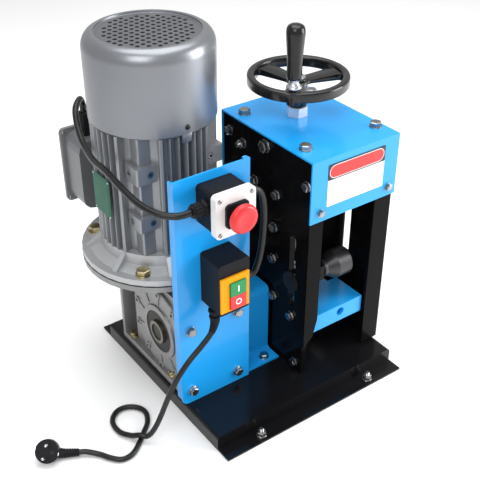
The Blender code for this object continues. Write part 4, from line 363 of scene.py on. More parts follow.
def round_edges(obj, width, steps):
    bevel = obj.modifiers.new("edges", "BEVEL")
    bevel.width = width
    bevel.segments = steps
    bevel.limit_method = "ANGLE"
    bevel.angle_limit = BEVEL_ANGLE
    bevel.use_clamp_overlap = True


def dress_nodes():
    widths = {name: width for width, names in EDGES.items() for name in names}
    for finish, names in NODE_FINISHES:
        for name in names:
            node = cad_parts[name]
            node.data.materials.clear()
            node.data.materials.append(finish)
            if name in widths:
                round_edges(node, widths[name], NODE_BEVEL_STEPS)
            smooth(node)


# Mesh helpers


def finish_piece(name, shapes, finish, angle=35, bevel=0, body="frame"):
    """One piece in one mesh, from a shape or from a list of them."""
    bm = gathered(shapes) if isinstance(shapes, list) else shapes
    bmesh.ops.recalc_face_normals(bm, faces=bm.faces)
    mesh = bpy.data.meshes.new(name)
    bm.to_mesh(mesh)
    bm.free()
    mesh.materials.append(finish)
    obj = placed(name, mesh)
    obj.location = SHIFT
    if bevel:
        round_edges(obj, bevel, PIECE_BEVEL_STEPS)
    smooth(obj, angle)
    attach(obj, body)
    return obj


def on_circle(centre, radius, angle):
    return centre[0] + radius * cos(angle), centre[1] + radius * sin(angle)


def arc(centre, radius, first, last, steps):
    return [on_circle(centre, radius, first + (last - first) * i / steps) for i in range(steps + 1)]


def circle(centre, radius, steps, phase=0):
    return arc(centre, radius, phase, phase + tau, steps)[:-1]


def rounded(low_a, high_a, low_b, high_b, radius, steps=4):
    quarter = pi / 2
    corners = (
        (high_a - radius, high_b - radius),
        (low_a + radius, high_b - radius),
        (low_a + radius, low_b + radius),
        (high_a - radius, low_b + radius),
    )
    points = []
    for i, corner in enumerate(corners):
        points += arc(corner, radius, quarter * i, quarter * (i + 1), steps)
    return points


def lifted(point, axis, level):
    place = list(point)
    place.insert("XYZ".index(axis), level)
    return tuple(place)


def slab(outline, axis, low, high):
    bm = bmesh.new()
    near = [bm.verts.new(lifted(point, axis, low)) for point in outline]
    far = [bm.verts.new(lifted(point, axis, high)) for point in outline]
    bm.faces.new(near)
    bm.faces.new(far)
    for i in range(len(outline)):
        j = (i + 1) % len(outline)
        bm.faces.new((near[i], near[j], far[j], far[i]))
    bmesh.ops.recalc_face_normals(bm, faces=bm.faces)
    return bm


def four_corners(first, second, inset):
    """The four corners of a plate, each moved inward by the inset."""
    return [(one, other) for one in (first[0] + inset, first[1] - inset)
            for other in (second[0] + inset, second[1] - inset)]


def box(low, high):
    outline = ((low[0], low[1]), (high[0], low[1]), (high[0], high[1]), (low[0], high[1]))
    return slab(outline, "Z", low[2], high[2])


def join_rings(bm, one, other):
    steps = max(len(one), len(other))
    for i in range(steps):
        j = (i + 1) % steps
        if len(one) == 1:
            bm.faces.new((one[0], other[i], other[j]))
        elif len(other) == 1:
            bm.faces.new((one[i], one[j], other[0]))
        else:
            bm.faces.new((one[i], one[j], other[j], other[i]))


def along(direction):
    return Vector(UP).rotation_difference(Vector(direction)).to_matrix().to_4x4()


def band(inner, outer, low, high):
    """The profile of a flat ring, or of a disc if it starts on the axis."""
    return ((inner, low), (outer, low), (outer, high), (inner, high))


def turned(profile, centre=(0, 0, 0), direction=UP, steps=48):
    """A turned form: its profile starts and ends on the axis, or else closes into a ring."""
    bm = bmesh.new()
    rings = []
    for radius, height in profile:
        flat = circle((0, 0), radius, steps) if radius else [(0, 0)]
        rings.append([bm.verts.new((x, y, height)) for x, y in flat])
    pairs = list(zip(rings, rings[1:]))
    if profile[0][0]:
        pairs.append((rings[-1], rings[0]))
    for one, other in pairs:
        join_rings(bm, one, other)
    bmesh.ops.recalc_face_normals(bm, faces=bm.faces)
    bmesh.ops.transform(bm, matrix=Matrix.Translation(centre) @ along(direction), verts=bm.verts)
    return bm


def loft(rings):
    """Rings of points joined one to the next, with both ends closed."""
    bm = bmesh.new()
    made = [[bm.verts.new(point) for point in ring] for ring in rings]
    for one, other in zip(made, made[1:]):
        join_rings(bm, one, other)
    bm.faces.new(made[0])
    bm.faces.new(made[-1])
    bmesh.ops.recalc_face_normals(bm, faces=bm.faces)
    return bm


def gathered(shapes):
    """Several shapes in one mesh."""
    whole = bmesh.new()
    for bm in shapes:
        mesh = bpy.data.meshes.new("part")
        bm.to_mesh(mesh)
        bm.free()
        whole.from_mesh(mesh)
        bpy.data.meshes.remove(mesh)
    return whole


# Bolts

# Each fastener's width across flats and the height of its head
M6_HEAD = (0.010, 0.0044)
M8_HEAD = (0.013, 0.0055)
M8_NUT = (0.013, 0.0065)
M10_HEAD = (0.016, 0.0064)
M10_WIDE = (0.017, 0.0070)
M12_HEAD = (0.019, 0.0075)
WHEEL_NUT = (0.020, 0.0030)
# Each round head's radius and height
COWL_SCREW = (0.0044, 0.0032)
LUG_SCREW = (0.0026, 0.0022)
LID_SCREW = (0.0034, 0.0013)
COVER_SCREW = (0.0034, 0.0016)
RIVET = (0.0016, 0.0009)
STUD_LONG = 0.006
# Shares of the width across flats
WASHER_SHARE = 0.06
WASHER_THICK_SHARE = 0.11
CROWN_SHARE = 0.475
STUD_SHARE = 0.30
THREAD_PITCH = 0.0014


def hex_bolt(place, direction, size, phase, stud=0, washer=True):
    """A hexagon head with its chamfered crown, on a washer, with the end of a stud if asked."""
    flats, high = size
    corner = flats / sqrt(3)
    shapes = []
    base = 0
    if washer:
        base = flats * WASHER_THICK_SHARE
        rim = corner + flats * WASHER_SHARE
        profile = ((0, 0), (rim, 0), (rim, base * 0.8), (rim - base * 0.2, base), (0, base))
        shapes.append(turned(profile, steps=32))
    rings = []
    for radius, height in ((corner, base), (corner, base + high * 0.86), (flats * CROWN_SHARE, base + high)):
        rings.append([(x, y, height) for x, y in circle((0, 0), radius, 6, phase)])
    shapes.append(loft(rings))
    if stud:
        shapes.append(thread(flats * STUD_SHARE, base + high * 0.9, base + high + stud))
    whole = gathered(shapes)
    bmesh.ops.transform(whole, matrix=Matrix.Translation(place) @ along(direction), verts=whole.verts)
    return whole


def bolt_row(pairs, direction, level, size, first, step, stud=0):
    """Bolts of one size on one face, each turned a little further than the one before."""
    axis = AXIS_OF[direction]
    return [hex_bolt(lifted(pair, axis, level), direction, size, first + step * i, stud)
            for i, pair in enumerate(pairs)]


def thread(radius, low, high):
    """The end of a stud, ridged like a thread."""
    profile = [(0, low)]
    turns = max(2, round((high - low) / THREAD_PITCH))
    step = (high - low) / turns
    for i in range(turns):
        height = low + (high - low) * i / turns
        profile += [(radius * 0.86, height), (radius, height + step / 2)]
    profile += [(radius * 0.80, high), (0, high)]
    return turned(profile, steps=16)


def pan_screw(place, direction, radius, high):
    """A round-headed screw with a cross recess drawn as a shallow dip."""
    profile = ((0, 0), (radius, 0), (radius, high * 0.45), (radius * 0.8, high * 0.85),
               (radius * 0.42, high), (radius * 0.30, high * 0.62), (0, high * 0.62))
    return turned(profile, place, direction, 20)


def dome_screw(place, direction, radius, high):
    """A domed head with a small recess in its crown."""
    profile = [(0, 0)]
    for i in range(6):
        angle = pi / 2 * i / 6
        profile.append((radius * cos(angle), high * sin(angle)))
    profile += [(radius * 0.22, high * 0.98), (radius * 0.16, high * 0.70), (0, high * 0.70)]
    return turned(profile, place, direction, 20)


# Cords

CORD_R = 0.00425
CABLE_R = 0.005
STRAIGHT = 0.013
CORD_GLAND_X = 0.040
CORD_GLAND_Y = 0.062
CORD_GLAND_LOW = 0.177
RELIEF_LONG = 0.022
RELIEF_FOOT_R = 0.0075
# Where the plug's strain relief ends, and the way the cord leaves it
RELIEF_END = Vector((-0.179, 0.1155, RELIEF_FOOT_R + GAP - BASE_HEIGHT))
RELIEF_WAY = spoke(radians(-30))
CORD_FLOOR_Z = CORD_R + GAP - BASE_HEIGHT
GLAND_X = 0.014
GLAND_Y = 0.385
GLAND_TOP = 0.3906
SIDE_GLAND_LEFT = 0.006
SIDE_GLAND_RIGHT = 0.101
SIDE_GLAND_Y = 0.062
SIDE_GLAND_Z = 0.366
SWITCH_GLAND_END = 0.099
SWITCH_GLAND_Y = 0.066
SWITCH_GLAND_Z = 0.221

# Where the mains cord lies on the floor
MAINS_FLOOR = (
    (-0.105, 0.120), (-0.102, 0.146), (-0.083, 0.161), (-0.061, 0.155), (-0.050, 0.135), (-0.058, 0.112),
    (-0.075, 0.095), (-0.094, 0.078), (-0.112, 0.066), (-0.129, 0.066), (-0.142, 0.079), (-0.152, 0.095),
)
MAINS_ROUTE = (
    (CORD_GLAND_X, CORD_GLAND_Y, CORD_GLAND_LOW - GAP),
    (CORD_GLAND_X, CORD_GLAND_Y, CORD_GLAND_LOW - STRAIGHT),
    (0.031, 0.058, 0.151), (0.010, 0.053, 0.139), (-0.014, 0.051, 0.123), (-0.034, 0.054, 0.096),
    (-0.047, 0.060, 0.063), (-0.059, 0.065, 0.028), (-0.070, 0.069, 0.003),
    (-0.079, 0.076, CORD_FLOOR_Z + 0.0105), (-0.087, 0.085, CORD_FLOOR_Z + 0.0098),
    (-0.096, 0.099, CORD_FLOOR_Z + 0.003),
    *((x, y, CORD_FLOOR_Z) for x, y in MAINS_FLOOR),
    RELIEF_END + RELIEF_WAY * STRAIGHT,
    RELIEF_END + RELIEF_WAY * GAP,
)
MOTOR_CABLE_ROUTE = (
    (GLAND_X, GLAND_Y, GLAND_TOP), (GLAND_X, GLAND_Y, GLAND_TOP + STRAIGHT),
    (0.008, 0.380, 0.414), (-0.010, 0.360, 0.408), (-0.022, 0.330, 0.388), (-0.030, 0.295, 0.376),
    (-0.040, 0.250, 0.377), (-0.045, 0.200, 0.382), (-0.047, 0.155, 0.378), (-0.044, 0.115, 0.371),
    (-0.034, 0.084, 0.367), (-0.018, 0.066, SIDE_GLAND_Z),
    (SIDE_GLAND_LEFT - STRAIGHT, SIDE_GLAND_Y, SIDE_GLAND_Z),
    (SIDE_GLAND_LEFT - GAP, SIDE_GLAND_Y, SIDE_GLAND_Z),
)
LINK_CABLE_ROUTE = (
    (SIDE_GLAND_RIGHT + GAP, SIDE_GLAND_Y, SIDE_GLAND_Z),
    (SIDE_GLAND_RIGHT + STRAIGHT, SIDE_GLAND_Y, SIDE_GLAND_Z),
    (0.125, 0.063, 0.352), (0.130, 0.064, 0.322), (0.1305, 0.066, 0.288), (0.127, 0.066, 0.258),
    (0.120, 0.066, 0.232), (SWITCH_GLAND_END + STRAIGHT, SWITCH_GLAND_Y, SWITCH_GLAND_Z),
    (SWITCH_GLAND_END + GAP, SWITCH_GLAND_Y, SWITCH_GLAND_Z),
)


def cord_curve(name, radius, count, finish):
    """A round curve, and its points, which are still to be placed."""
    curve = bpy.data.curves.new(name, "CURVE")
    curve.dimensions = "3D"
    curve.bevel_depth = radius
    curve.bevel_resolution = 6
    curve.resolution_u = 10
    curve.use_fill_caps = True
    curve.materials.append(finish)
    spline = curve.splines.new("BEZIER")
    spline.bezier_points.add(count - 1)
    return placed(name, curve), spline.bezier_points


def route_curve(name, route, radius):
    """A smooth curve through the route's points, as thick as the cord."""
    obj, targets = cord_curve(name, radius, len(route), SHEATH)
    points = [at(*point) for point in route]
    for i, (target, point) in enumerate(zip(targets, points)):
        before = points[max(i - 1, 0)]
        after = points[min(i + 1, len(points) - 1)]
        lean = (after - before).normalized()
        target.co = point
        target.handle_left = point - lean * (point - before).length / 3
        target.handle_right = point + lean * (after - point).length / 3
    return obj


SLEEVE_WIDTHS = (2.0, 1.6, 1.15)


def cord_sleeve(cord):
    """A tapered sleeve that follows the first points of the cord."""
    obj, targets = cord_curve("cord_sleeve", CORD_R, len(SLEEVE_WIDTHS), MOULDED)
    source = cord.data.splines[0].bezier_points
    for target, point, width in zip(targets, source, SLEEVE_WIDTHS):
        target.co = point.co
        target.handle_left = point.handle_left
        target.handle_right = point.handle_right
        target.radius = width
    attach(obj, "frame")
    return obj


def make_cords():
    mains = route_curve("power_cord", MAINS_ROUTE, CORD_R)
    motor = route_curve("motor_lead", MOTOR_CABLE_ROUTE, CABLE_R)
    link = route_curve("switch_lead", LINK_CABLE_ROUTE, CABLE_R)
    for obj, node in ((mains, "mains_cord"), (motor, "motor_cable"), (link, "link_cable")):
        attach(obj, "frame")
        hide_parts(node)
    return mains, motor, link


# Handwheel

# Radius and height round the hub and round the grip's boss
HUB_R = 0.0145
HUB_HIGH = 0.4550
HUB = ((0.0073, 0.4101), (0.0130, 0.4101), (HUB_R, 0.4116), (HUB_R, 0.4534), (0.0140, 0.4545),
       (0.0129, HUB_HIGH), (0.0073, HUB_HIGH))
BOSS = ((0, 0.4410), (0.0090, 0.4410), (0.0101, 0.4414), (0.0105, 0.4425), (0.0105, 0.4618),
        (0.0097, 0.4626), (0, 0.4626))
WHEEL_R = 0.0785
RIM_LOW = 0.4465
RIM_HIGH = 0.4622
RIM_INNER_LOW_R = 0.0650
RIM_INNER_HIGH_R = 0.0670
RIM_ROUND = 0.0034
RIM_LOW_ROUND = 0.0016
WEB_LOW = 0.4471
WEB_HUB_HIGH = 0.4520
WEB_RIM_HIGH = 0.4575
WEB_END_R = 0.0690
ARM_START_R = 0.025
ARM_HALF_IN = 0.012
ARM_HALF_OUT = 0.015
ARM_EASE_IN = 0.016
ARM_EASE_OUT = 0.008
WHEEL_GAP_R = 0.0674
EASE_STEPS = 10
GRIP_ANGLE = radians(225.3)
GRIP_ORBIT = 0.0682
WHEEL_EDGE = 0.0007
FERRULE_LOW = 0.4629
SPINDLE_R = 0.0045
SPINDLE_TOP = 0.5462
# Radius and height of the spindle's ferrule above its foot
FERRULE = (
    (0.0062, 0.0), (0.0065, 0.0006), (0.0070, 0.0014), (0.0096, 0.0028), (0.0113, 0.0042),
    (0.0118, 0.0055), (0.0115, 0.0068), (0.0102, 0.0083), (0.0088, 0.0098), (0.0078, 0.0113),
    (0.0072, 0.0130), (0.0070, 0.0145), (0.0074, 0.0158), (0.0083, 0.0168), (0.0088, 0.0176),
    (0.0080, 0.0182),
)
GRIP_LOW = 0.4812
GRIP_LENGTH = 0.081
# Radius of the grip at each share of its height, from its foot to its crown
GRIP_SHARES = (
    (0.0, 0.0100), (0.010, 0.0108), (0.04, 0.0112), (0.20, 0.0112), (0.35, 0.0114), (0.48, 0.0120),
    (0.60, 0.0126), (0.72, 0.0134), (0.82, 0.0139), (0.88, 0.0138), (0.93, 0.0129), (0.965, 0.0111),
    (0.988, 0.0080), (0.998, 0.0040),
)


def rim_profile():
    """A tall rim with a well-rounded top, a little narrower above than below."""
    quarter = pi / 2
    top = RIM_HIGH - RIM_ROUND
    low = RIM_LOW + RIM_LOW_ROUND
    points = arc((RIM_INNER_HIGH_R + RIM_ROUND, top), RIM_ROUND, 2 * quarter, quarter, 6)
    points += arc((WHEEL_R - RIM_ROUND, top), RIM_ROUND, quarter, 0, 6)
    points += arc((WHEEL_R - RIM_LOW_ROUND, low), RIM_LOW_ROUND, 0, -quarter, 4)
    points += arc((RIM_INNER_LOW_R + RIM_LOW_ROUND, low), RIM_LOW_ROUND, -quarter, -2 * quarter, 4)
    return points


def arm_edge(angle, side, run, half):
    """A point on the edge of an arm, at a run from the wheel's middle."""
    return run * spoke(angle) + side * half * spoke(angle + pi / 2)


def bend(start, corner, end):
    points = []
    for i in range(EASE_STEPS + 1):
        share = i / EASE_STEPS
        points.append(start.lerp(corner, share).lerp(corner.lerp(end, share), share))
    return points


def arm_side(angle, side):
    """One edge of an arm, from between the arms at the hub to its flare in the rim."""
    run = sqrt(WHEEL_GAP_R ** 2 - ARM_HALF_OUT ** 2)
    near = arm_edge(angle, side, ARM_START_R, ARM_HALF_IN)
    first = arm_edge(angle, side, run, ARM_HALF_OUT)
    third = pi / 3
    across = spoke(angle + side * third + pi / 2)
    meet = near.lerp(first, near.dot(across) / (near - first).dot(across))
    mirrored = arm_edge(angle + 2 * side * third, -side, run, ARM_HALF_OUT)
    inner = bend(meet + (mirrored - meet).normalized() * ARM_EASE_IN, meet,
                 meet + (first - meet).normalized() * ARM_EASE_IN)
    turn = side * (asin(ARM_HALF_OUT / WHEEL_GAP_R) + ARM_EASE_OUT / WHEEL_GAP_R)
    outer = bend(first + (meet - first).normalized() * ARM_EASE_OUT, first,
                 WHEEL_GAP_R * spoke(angle + turn))
    end = WEB_END_R * spoke(angle + turn)
    return inner[EASE_STEPS // 2:] + outer + [end]


def web_top(point):
    share = (point.length - HUB_R) / (WHEEL_GAP_R - HUB_R)
    return WEB_HUB_HIGH + min(1, max(0, share)) * (WEB_RIM_HIGH - WEB_HUB_HIGH)


def wheel_arm(angle):
    """A broad flat arm, which flares into its neighbours at the hub and into the rim."""
    rings = []
    for left, right in zip(arm_side(angle, 1), arm_side(angle, -1)):
        high = SCREW_AXIS + raised(web_top(left))
        low = SCREW_AXIS + raised(WEB_LOW)
        rings.append([high + left, high + right, low + right, low + left])
    return loft(rings)


def make_wheel(grip):
    shapes = [turned(rim_profile(), SCREW_AXIS, steps=144), turned(HUB, SCREW_AXIS, steps=64),
              turned(BOSS, grip, steps=40)]
    for i in range(3):
        shapes.append(wheel_arm(GRIP_ANGLE + i * tau / 3))
    wheel = finish_piece("wheel", shapes, BLACK_CAST, bevel=WHEEL_EDGE, body="screw")
    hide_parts("handwheel")


def make_handwheel():
    grip = SCREW_AXIS + spoke(GRIP_ANGLE) * GRIP_ORBIT
    make_wheel(grip)
    ferrule = [(0, FERRULE_LOW)] + [(radius, FERRULE_LOW + rise) for radius, rise in FERRULE]
    ferrule += [(SPINDLE_R, ferrule[-1][1]), (SPINDLE_R, SPINDLE_TOP), (0, SPINDLE_TOP)]
    spindle = finish_piece("ferrule", turned(ferrule, grip, steps=56), ZINC, 60, body="screw")
    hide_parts("handle_spindle")
    profile = [(0, GRIP_LOW)]
    for share, radius in GRIP_SHARES:
        profile.append((radius, GRIP_LOW + share * GRIP_LENGTH))
    profile.append((0, GRIP_LOW + GRIP_LENGTH))
    handle = finish_piece("grip", turned(profile, grip, steps=64), GRIP, 60, body="grip")
    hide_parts("handle_grip")


def make_screw_end():
    """The thin nut that holds the wheel on the end of the adjusting screw."""
    nut = hex_bolt(SCREW_AXIS + raised(HUB_HIGH), UP, WHEEL_NUT, 0.3, washer=False)
    finish_piece("wheel_nut", nut, ZINC, 30, body="screw")


# Motor

FAN_COVER_R = 0.0957
FAN_COVER_SHOULDER = 0.531
FAN_COVER_TOP = 0.553
FAN_COVER_TOP_R = 0.0790
FAN_COVER_SHEET = 0.0022
SHOULDER_STEPS = 12
GRILLE_EDGE = 0.0755
GRILLE_Z = (0.5483, 0.5498)
# Radius and height of the fan cover's wall below the shoulder, and of the lip round its grille
COVER_WALL = ((0.0935, 0.428), (FAN_COVER_R, 0.428), (FAN_COVER_R, 0.448), (FAN_COVER_R, 0.488))
COVER_LIP = ((0.0770, FAN_COVER_TOP), (0.0764, 0.5502), (GRILLE_EDGE, 0.5498), (GRILLE_EDGE, 0.5483))
GRILLE_R = 0.0700
GRILLE_PITCH = 0.01085
GRILLE_HOLE_R = 0.0035
COWL_SCREW_TURN = radians(270)
COWL_SCREW_Z = 0.438
COWL_SCREW_SUNK = 0.0006
LUG_SCREW_INSET = 0.004
LUG_Z = (0.414, 0.4275)
LUG_HALF = 0.0080
LUG_R = (0.084, 0.0945)
# The grid of holes stands on its corner as the camera sees it
GRILLE_TURN = radians(15.5)


def perforated(outline, holes, low, high):
    """A level plate with holes through it."""
    loops = [outline] + list(holes)
    points = [point for loop in loops for point in loop]
    filled = tessellate_polygon([[Vector((x, y, 0)) for x, y in loop] for loop in loops])
    bm = bmesh.new()
    under = [bm.verts.new((x, y, low)) for x, y in points]
    over = [bm.verts.new((x, y, high)) for x, y in points]
    for a, b, c in filled:
        bm.faces.new((under[a], under[b], under[c]))
        bm.faces.new((over[a], over[c], over[b]))
    start = 0
    for loop in loops:
        for i in range(len(loop)):
            one = start + i
            other = start + (i + 1) % len(loop)
            bm.faces.new((under[one], under[other], over[other], over[one]))
        start += len(loop)
    bmesh.ops.recalc_face_normals(bm, faces=bm.faces)
    return bm


def grille_holes(radius, pitch, hole_r, turn):
    """Holes on a square grid, as many as lie wholly inside the radius."""
    holes = []
    rows = int(radius / pitch) + 1
    for i in range(-rows, rows + 1):
        for j in range(-rows, rows + 1):
            x = pitch * i
            y = pitch * j
            if hypot(x, y) > radius - hole_r:
                continue
            place = (MOTOR[0] + x * cos(turn) - y * sin(turn), MOTOR[1] + x * sin(turn) + y * cos(turn))
            holes.append(circle(place, hole_r, 12))
    return holes


def about_motor(points):
    """Points given from the motor's axis, as places in x and y."""
    return [(MOTOR[0] + point[0], MOTOR[1] + point[1]) for point in points]


def radial_block(turn, run, half, height):
    """A block that stands out from the motor's axis at an angle."""
    away = spoke(turn)
    across = spoke(turn + pi / 2)
    corners = (away * run[0] + across * half, away * run[1] + across * half,
               away * run[1] - across * half, away * run[0] - across * half)
    return slab(about_motor(corners), "Z", *height)


def make_fan_cover():
    """A deep-drawn cover with a rounded shoulder, a low lip and a punched crown."""
    sheet = FAN_COVER_SHEET
    rise = FAN_COVER_TOP - FAN_COVER_SHOULDER
    across = FAN_COVER_R - FAN_COVER_TOP_R
    outer = []
    inner = []
    for i in range(SHOULDER_STEPS + 1):
        angle = pi / 2 * i / SHOULDER_STEPS
        outer.append((FAN_COVER_TOP_R + across * cos(angle), FAN_COVER_SHOULDER + rise * sin(angle)))
        inner.append((FAN_COVER_TOP_R + (across - sheet) * cos(angle),
                      FAN_COVER_SHOULDER + (rise - sheet) * sin(angle)))
    profile = [*COVER_WALL, *outer, *COVER_LIP, *reversed(inner)]
    shell = turned(profile, MOTOR_AXIS, steps=144)
    holes = grille_holes(GRILLE_R, GRILLE_PITCH, GRILLE_HOLE_R, GRILLE_TURN)
    plate = perforated(circle(MOTOR, GRILLE_EDGE, 144), holes, *GRILLE_Z)
    cover = finish_piece("fan_cowl", shell, SILVER, 40)
    # The grille is darkened with painted shade.
    grille = finish_piece("fan_grille", plate, SILVER_GRILLE_PAINTED_SHADE, 40)
    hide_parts("fan_cover")
    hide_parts("fan_cover")
    make_cowl_screws()


def make_cowl_screws():
    """The fan cover's screws, and the lug and its screw below each."""
    screws = []
    lugs = []
    for i in range(3):
        turn = COWL_SCREW_TURN + i * tau / 3
        away = spoke(turn)
        place = MOTOR_AXIS + away * (FAN_COVER_R - COWL_SCREW_SUNK) + raised(COWL_SCREW_Z)
        screws.append(dome_screw(place, away, *COWL_SCREW))
        lugs.append(radial_block(turn, LUG_R, LUG_HALF, LUG_Z))
        foot = MOTOR_AXIS + away * (LUG_R[1] - LUG_SCREW_INSET) + raised(LUG_Z[0])
        screws.append(dome_screw(foot, DOWN, *LUG_SCREW))
    finish_piece("cowl_screws", screws, DARK_STEEL, 30)
    finish_piece("cowl_lugs", lugs, SILVER, 30, 0.0008)


# Stator

STATOR_Z = (0.2303, 0.425)
STATOR_CORE_R = 0.079
FIN_R = 0.0942
FINS = 44
FIN_TIP_HALF = 0.0010
FIN_FOOT_HALF = 0.0017
WIDE_FIN_HALF = 0.0028
# Fins left out on each side of a corner, so that its flat faces stand free
FINS_CLEARED = 2
CORNER_TURN = radians(225)
RIB_CORNER_R = 0.0945
RIB_FACE = 0.020
PAD_CORNER_R = 0.105
PAD_FACE = 0.034
PAD_HEIGHTS = ((0.276, 0.300), (0.355, 0.382))
# Only the front corners have pads
PADDED_CORNERS = 2
PAD_INNER_R = 0.078
PAD_BLUNT = 0.0022
PAD_SCREW_RUN = 0.0225
# Each as its inner and outer radius and its heights; the hole is a dark disc painted as the shade in a
# socket's recess
SOCKET_RING = (0.0026, 0.0043, 0, 0.0006)
SOCKET_SHADE_DISC = (0, 0.0050, 0, 0.0002)
FIN_TIP_EASE = 0.0008


def corner_prism(turn, corner_r, face, height):
    """A rib with two flat faces square to each other, which meet at a blunt corner."""
    corner = spoke(turn) * corner_r
    left = -spoke(turn + pi / 4)
    right = -spoke(turn - pi / 4)
    ends = (corner + left * face, corner + right * face)
    points = [ends[0].normalized() * PAD_INNER_R, ends[0], corner + left * PAD_BLUNT,
              corner + right * PAD_BLUNT, ends[1], ends[1].normalized() * PAD_INNER_R]
    return slab(about_motor(points), "Z", *height)


def finned_outline():
    """The core with straight fins all round it, a little thicker at the foot."""
    points = []
    quarter = FINS // 4
    for i in range(FINS):
        turn = CORNER_TURN + tau * (i + 0.5) / FINS
        away = spoke(turn)
        across = spoke(turn + pi / 2)
        nearest = min(i % quarter, quarter - 1 - i % quarter)
        if nearest < FINS_CLEARED:
            points.append(away * STATOR_CORE_R)
            continue
        tip, foot = FIN_TIP_HALF, FIN_FOOT_HALF
        if nearest == FINS_CLEARED:
            tip, foot = WIDE_FIN_HALF, WIDE_FIN_HALF + FIN_FOOT_HALF - FIN_TIP_HALF
        for run, half in ((STATOR_CORE_R, -foot), (FIN_R - FIN_TIP_EASE, -tip), (FIN_R, -tip * 0.6),
                          (FIN_R, tip * 0.6), (FIN_R - FIN_TIP_EASE, tip), (STATOR_CORE_R, foot)):
            points.append(away * run + across * half)
    return about_motor(points)


def pad_screws(turn, height):
    """A socket screw in each face of a corner pad, as a bright ring, with a dark disc painted as the shade
    in its recess.
    """
    rings = []
    holes = []
    corner = MOTOR_AXIS + spoke(turn) * PAD_CORNER_R + raised(sum(height) / 2)
    for side in (1, -1):
        out = spoke(turn - side * pi / 4)
        place = corner - spoke(turn + side * pi / 4) * PAD_SCREW_RUN
        rings.append(turned(band(*SOCKET_RING), place, out, 24))
        holes.append(turned(band(*SOCKET_SHADE_DISC), place, out, 24))
    return rings, holes


def make_stator():
    shapes = [slab(finned_outline(), "Z", *STATOR_Z)]
    rings = []
    holes = []
    for i in range(4):
        turn = CORNER_TURN + i * pi / 2
        shapes.append(corner_prism(turn, RIB_CORNER_R, RIB_FACE, STATOR_Z))
        for height in PAD_HEIGHTS if i < PADDED_CORNERS else ():
            shapes.append(corner_prism(turn, PAD_CORNER_R, PAD_FACE, height))
            more_rings, more_holes = pad_screws(turn, height)
            rings += more_rings
            holes += more_holes
    body = finish_piece("finned_body", shapes, SILVER_CAST, 30)
    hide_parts("stator_housing")
    finish_piece("pad_screws", rings, ZINC, 30)
    # Dark discs painted as the shade in the pad screws' recesses
    finish_piece("pad_recess_shade", holes, SHADE_PAINT_BLACK, 30)


LID_X = (-0.020, 0.148)
LID_Y = (0.4083, 0.4152)
LID_Z = (0.225, 0.358)
LID_CORNER = 0.009
LID_ROUND = 0.0016
LID_SCREW_INSET = 0.0066


def make_terminal_lid():
    """The terminal box's lid, with a screw through each corner, outside the box's round corner."""
    outline = rounded(*LID_X, *LID_Z, LID_CORNER)
    # The lid's darker silver is painted shade.
    lid = finish_piece("junction_lid", slab(outline, "Y", *LID_Y), SILVER_BOX_PAINTED_SHADE, bevel=LID_ROUND)
    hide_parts("terminal_lid")
    screws = []
    for x, z in four_corners(LID_X, LID_Z, LID_SCREW_INSET):
        for y, side in ((LID_Y[0], -1), (LID_Y[1], 1)):
            screws.append(dome_screw((x, y, z), (0, side, 0), *LID_SCREW))
    finish_piece("junction_screws", screws, BOLT, 30)


NAMEPLATE_X = -0.0338
NAMEPLATE_Y = (0.221, 0.271)
NAMEPLATE_Z = (0.288, 0.352)
# Each green piece's y, z, corner and x, then the low and high corner of each pad
NAMEPLATE = {
    "motor_plate": (NAMEPLATE_Y, NAMEPLATE_Z, 0.003, (NAMEPLATE_X, -0.0330)),
    "motor_plate_field": ((0.225, 0.267), (0.292, 0.348), 0.002, (-0.03405, NAMEPLATE_X)),
}
NAMEPLATE_PADS = (
    ((-0.0330, 0.227, 0.296), (-0.0312, 0.265, 0.308)),
    ((-0.0330, 0.227, 0.332), (-0.0312, 0.265, 0.344)),
)
RIVET_INSET = 0.003


def make_nameplate():
    """The motor's plate, bare, on two pads that bridge the fins."""
    for name, (y, z, corner, x) in NAMEPLATE.items():
        finish_piece(name, slab(rounded(*y, *z, corner), "X", *x), PLATE_GREEN)
    finish_piece("motor_plate_pads", [box(low, high) for low, high in NAMEPLATE_PADS], SILVER_CAST)
    rivets = [pan_screw((NAMEPLATE_X, *place), LEFT, *RIVET)
              for place in four_corners(NAMEPLATE_Y, NAMEPLATE_Z, RIVET_INSET)]
    finish_piece("motor_plate_rivets", rivets, ZINC)


# Controls

STOP_X = 0.061
STOP_Z = 0.358
STOP_COVER_FRONT = 0.036
MUSHROOM_BACK = 0.0235
# Radius and height, from the mushroom's back to the dish in its front
MUSHROOM = (
    (0, 0), (0.0183, 0), (0.0210, 0.0016), (0.0218, 0.0040), (0.0216, 0.00713), (0.0202, 0.00966),
    (0.0170, 0.011155), (0.0125, 0.0115), (0.0110, 0.0111), (0.0060, 0.0105), (0, 0.0103),
)
BUTTON_MIDDLE_X = 0.0635
BUTTON_FRONT = 0.0335
START_Z = 0.2330
STOP_KEY_Z = 0.2102
START_BAR_HALF = (0.0010, 0.0052)
START_BAR_CORNER = 0.0004
STOP_RING = (0.0036, 0.0052, 0, 0.00045)
MARK_SUNK = 0.00025
MARK_EDGE = 0.0002
COVER_SCREW_RUN = 0.0265


def make_stop_head():
    """The mushroom: a conical skirt, a rounded edge and a shallow dish."""
    head = turned(MUSHROOM, (STOP_X, MUSHROOM_BACK, STOP_Z), FRONT, 72)
    button = finish_piece("mushroom_head", head, RED, 50, body="stop_head")
    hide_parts("estop_button")


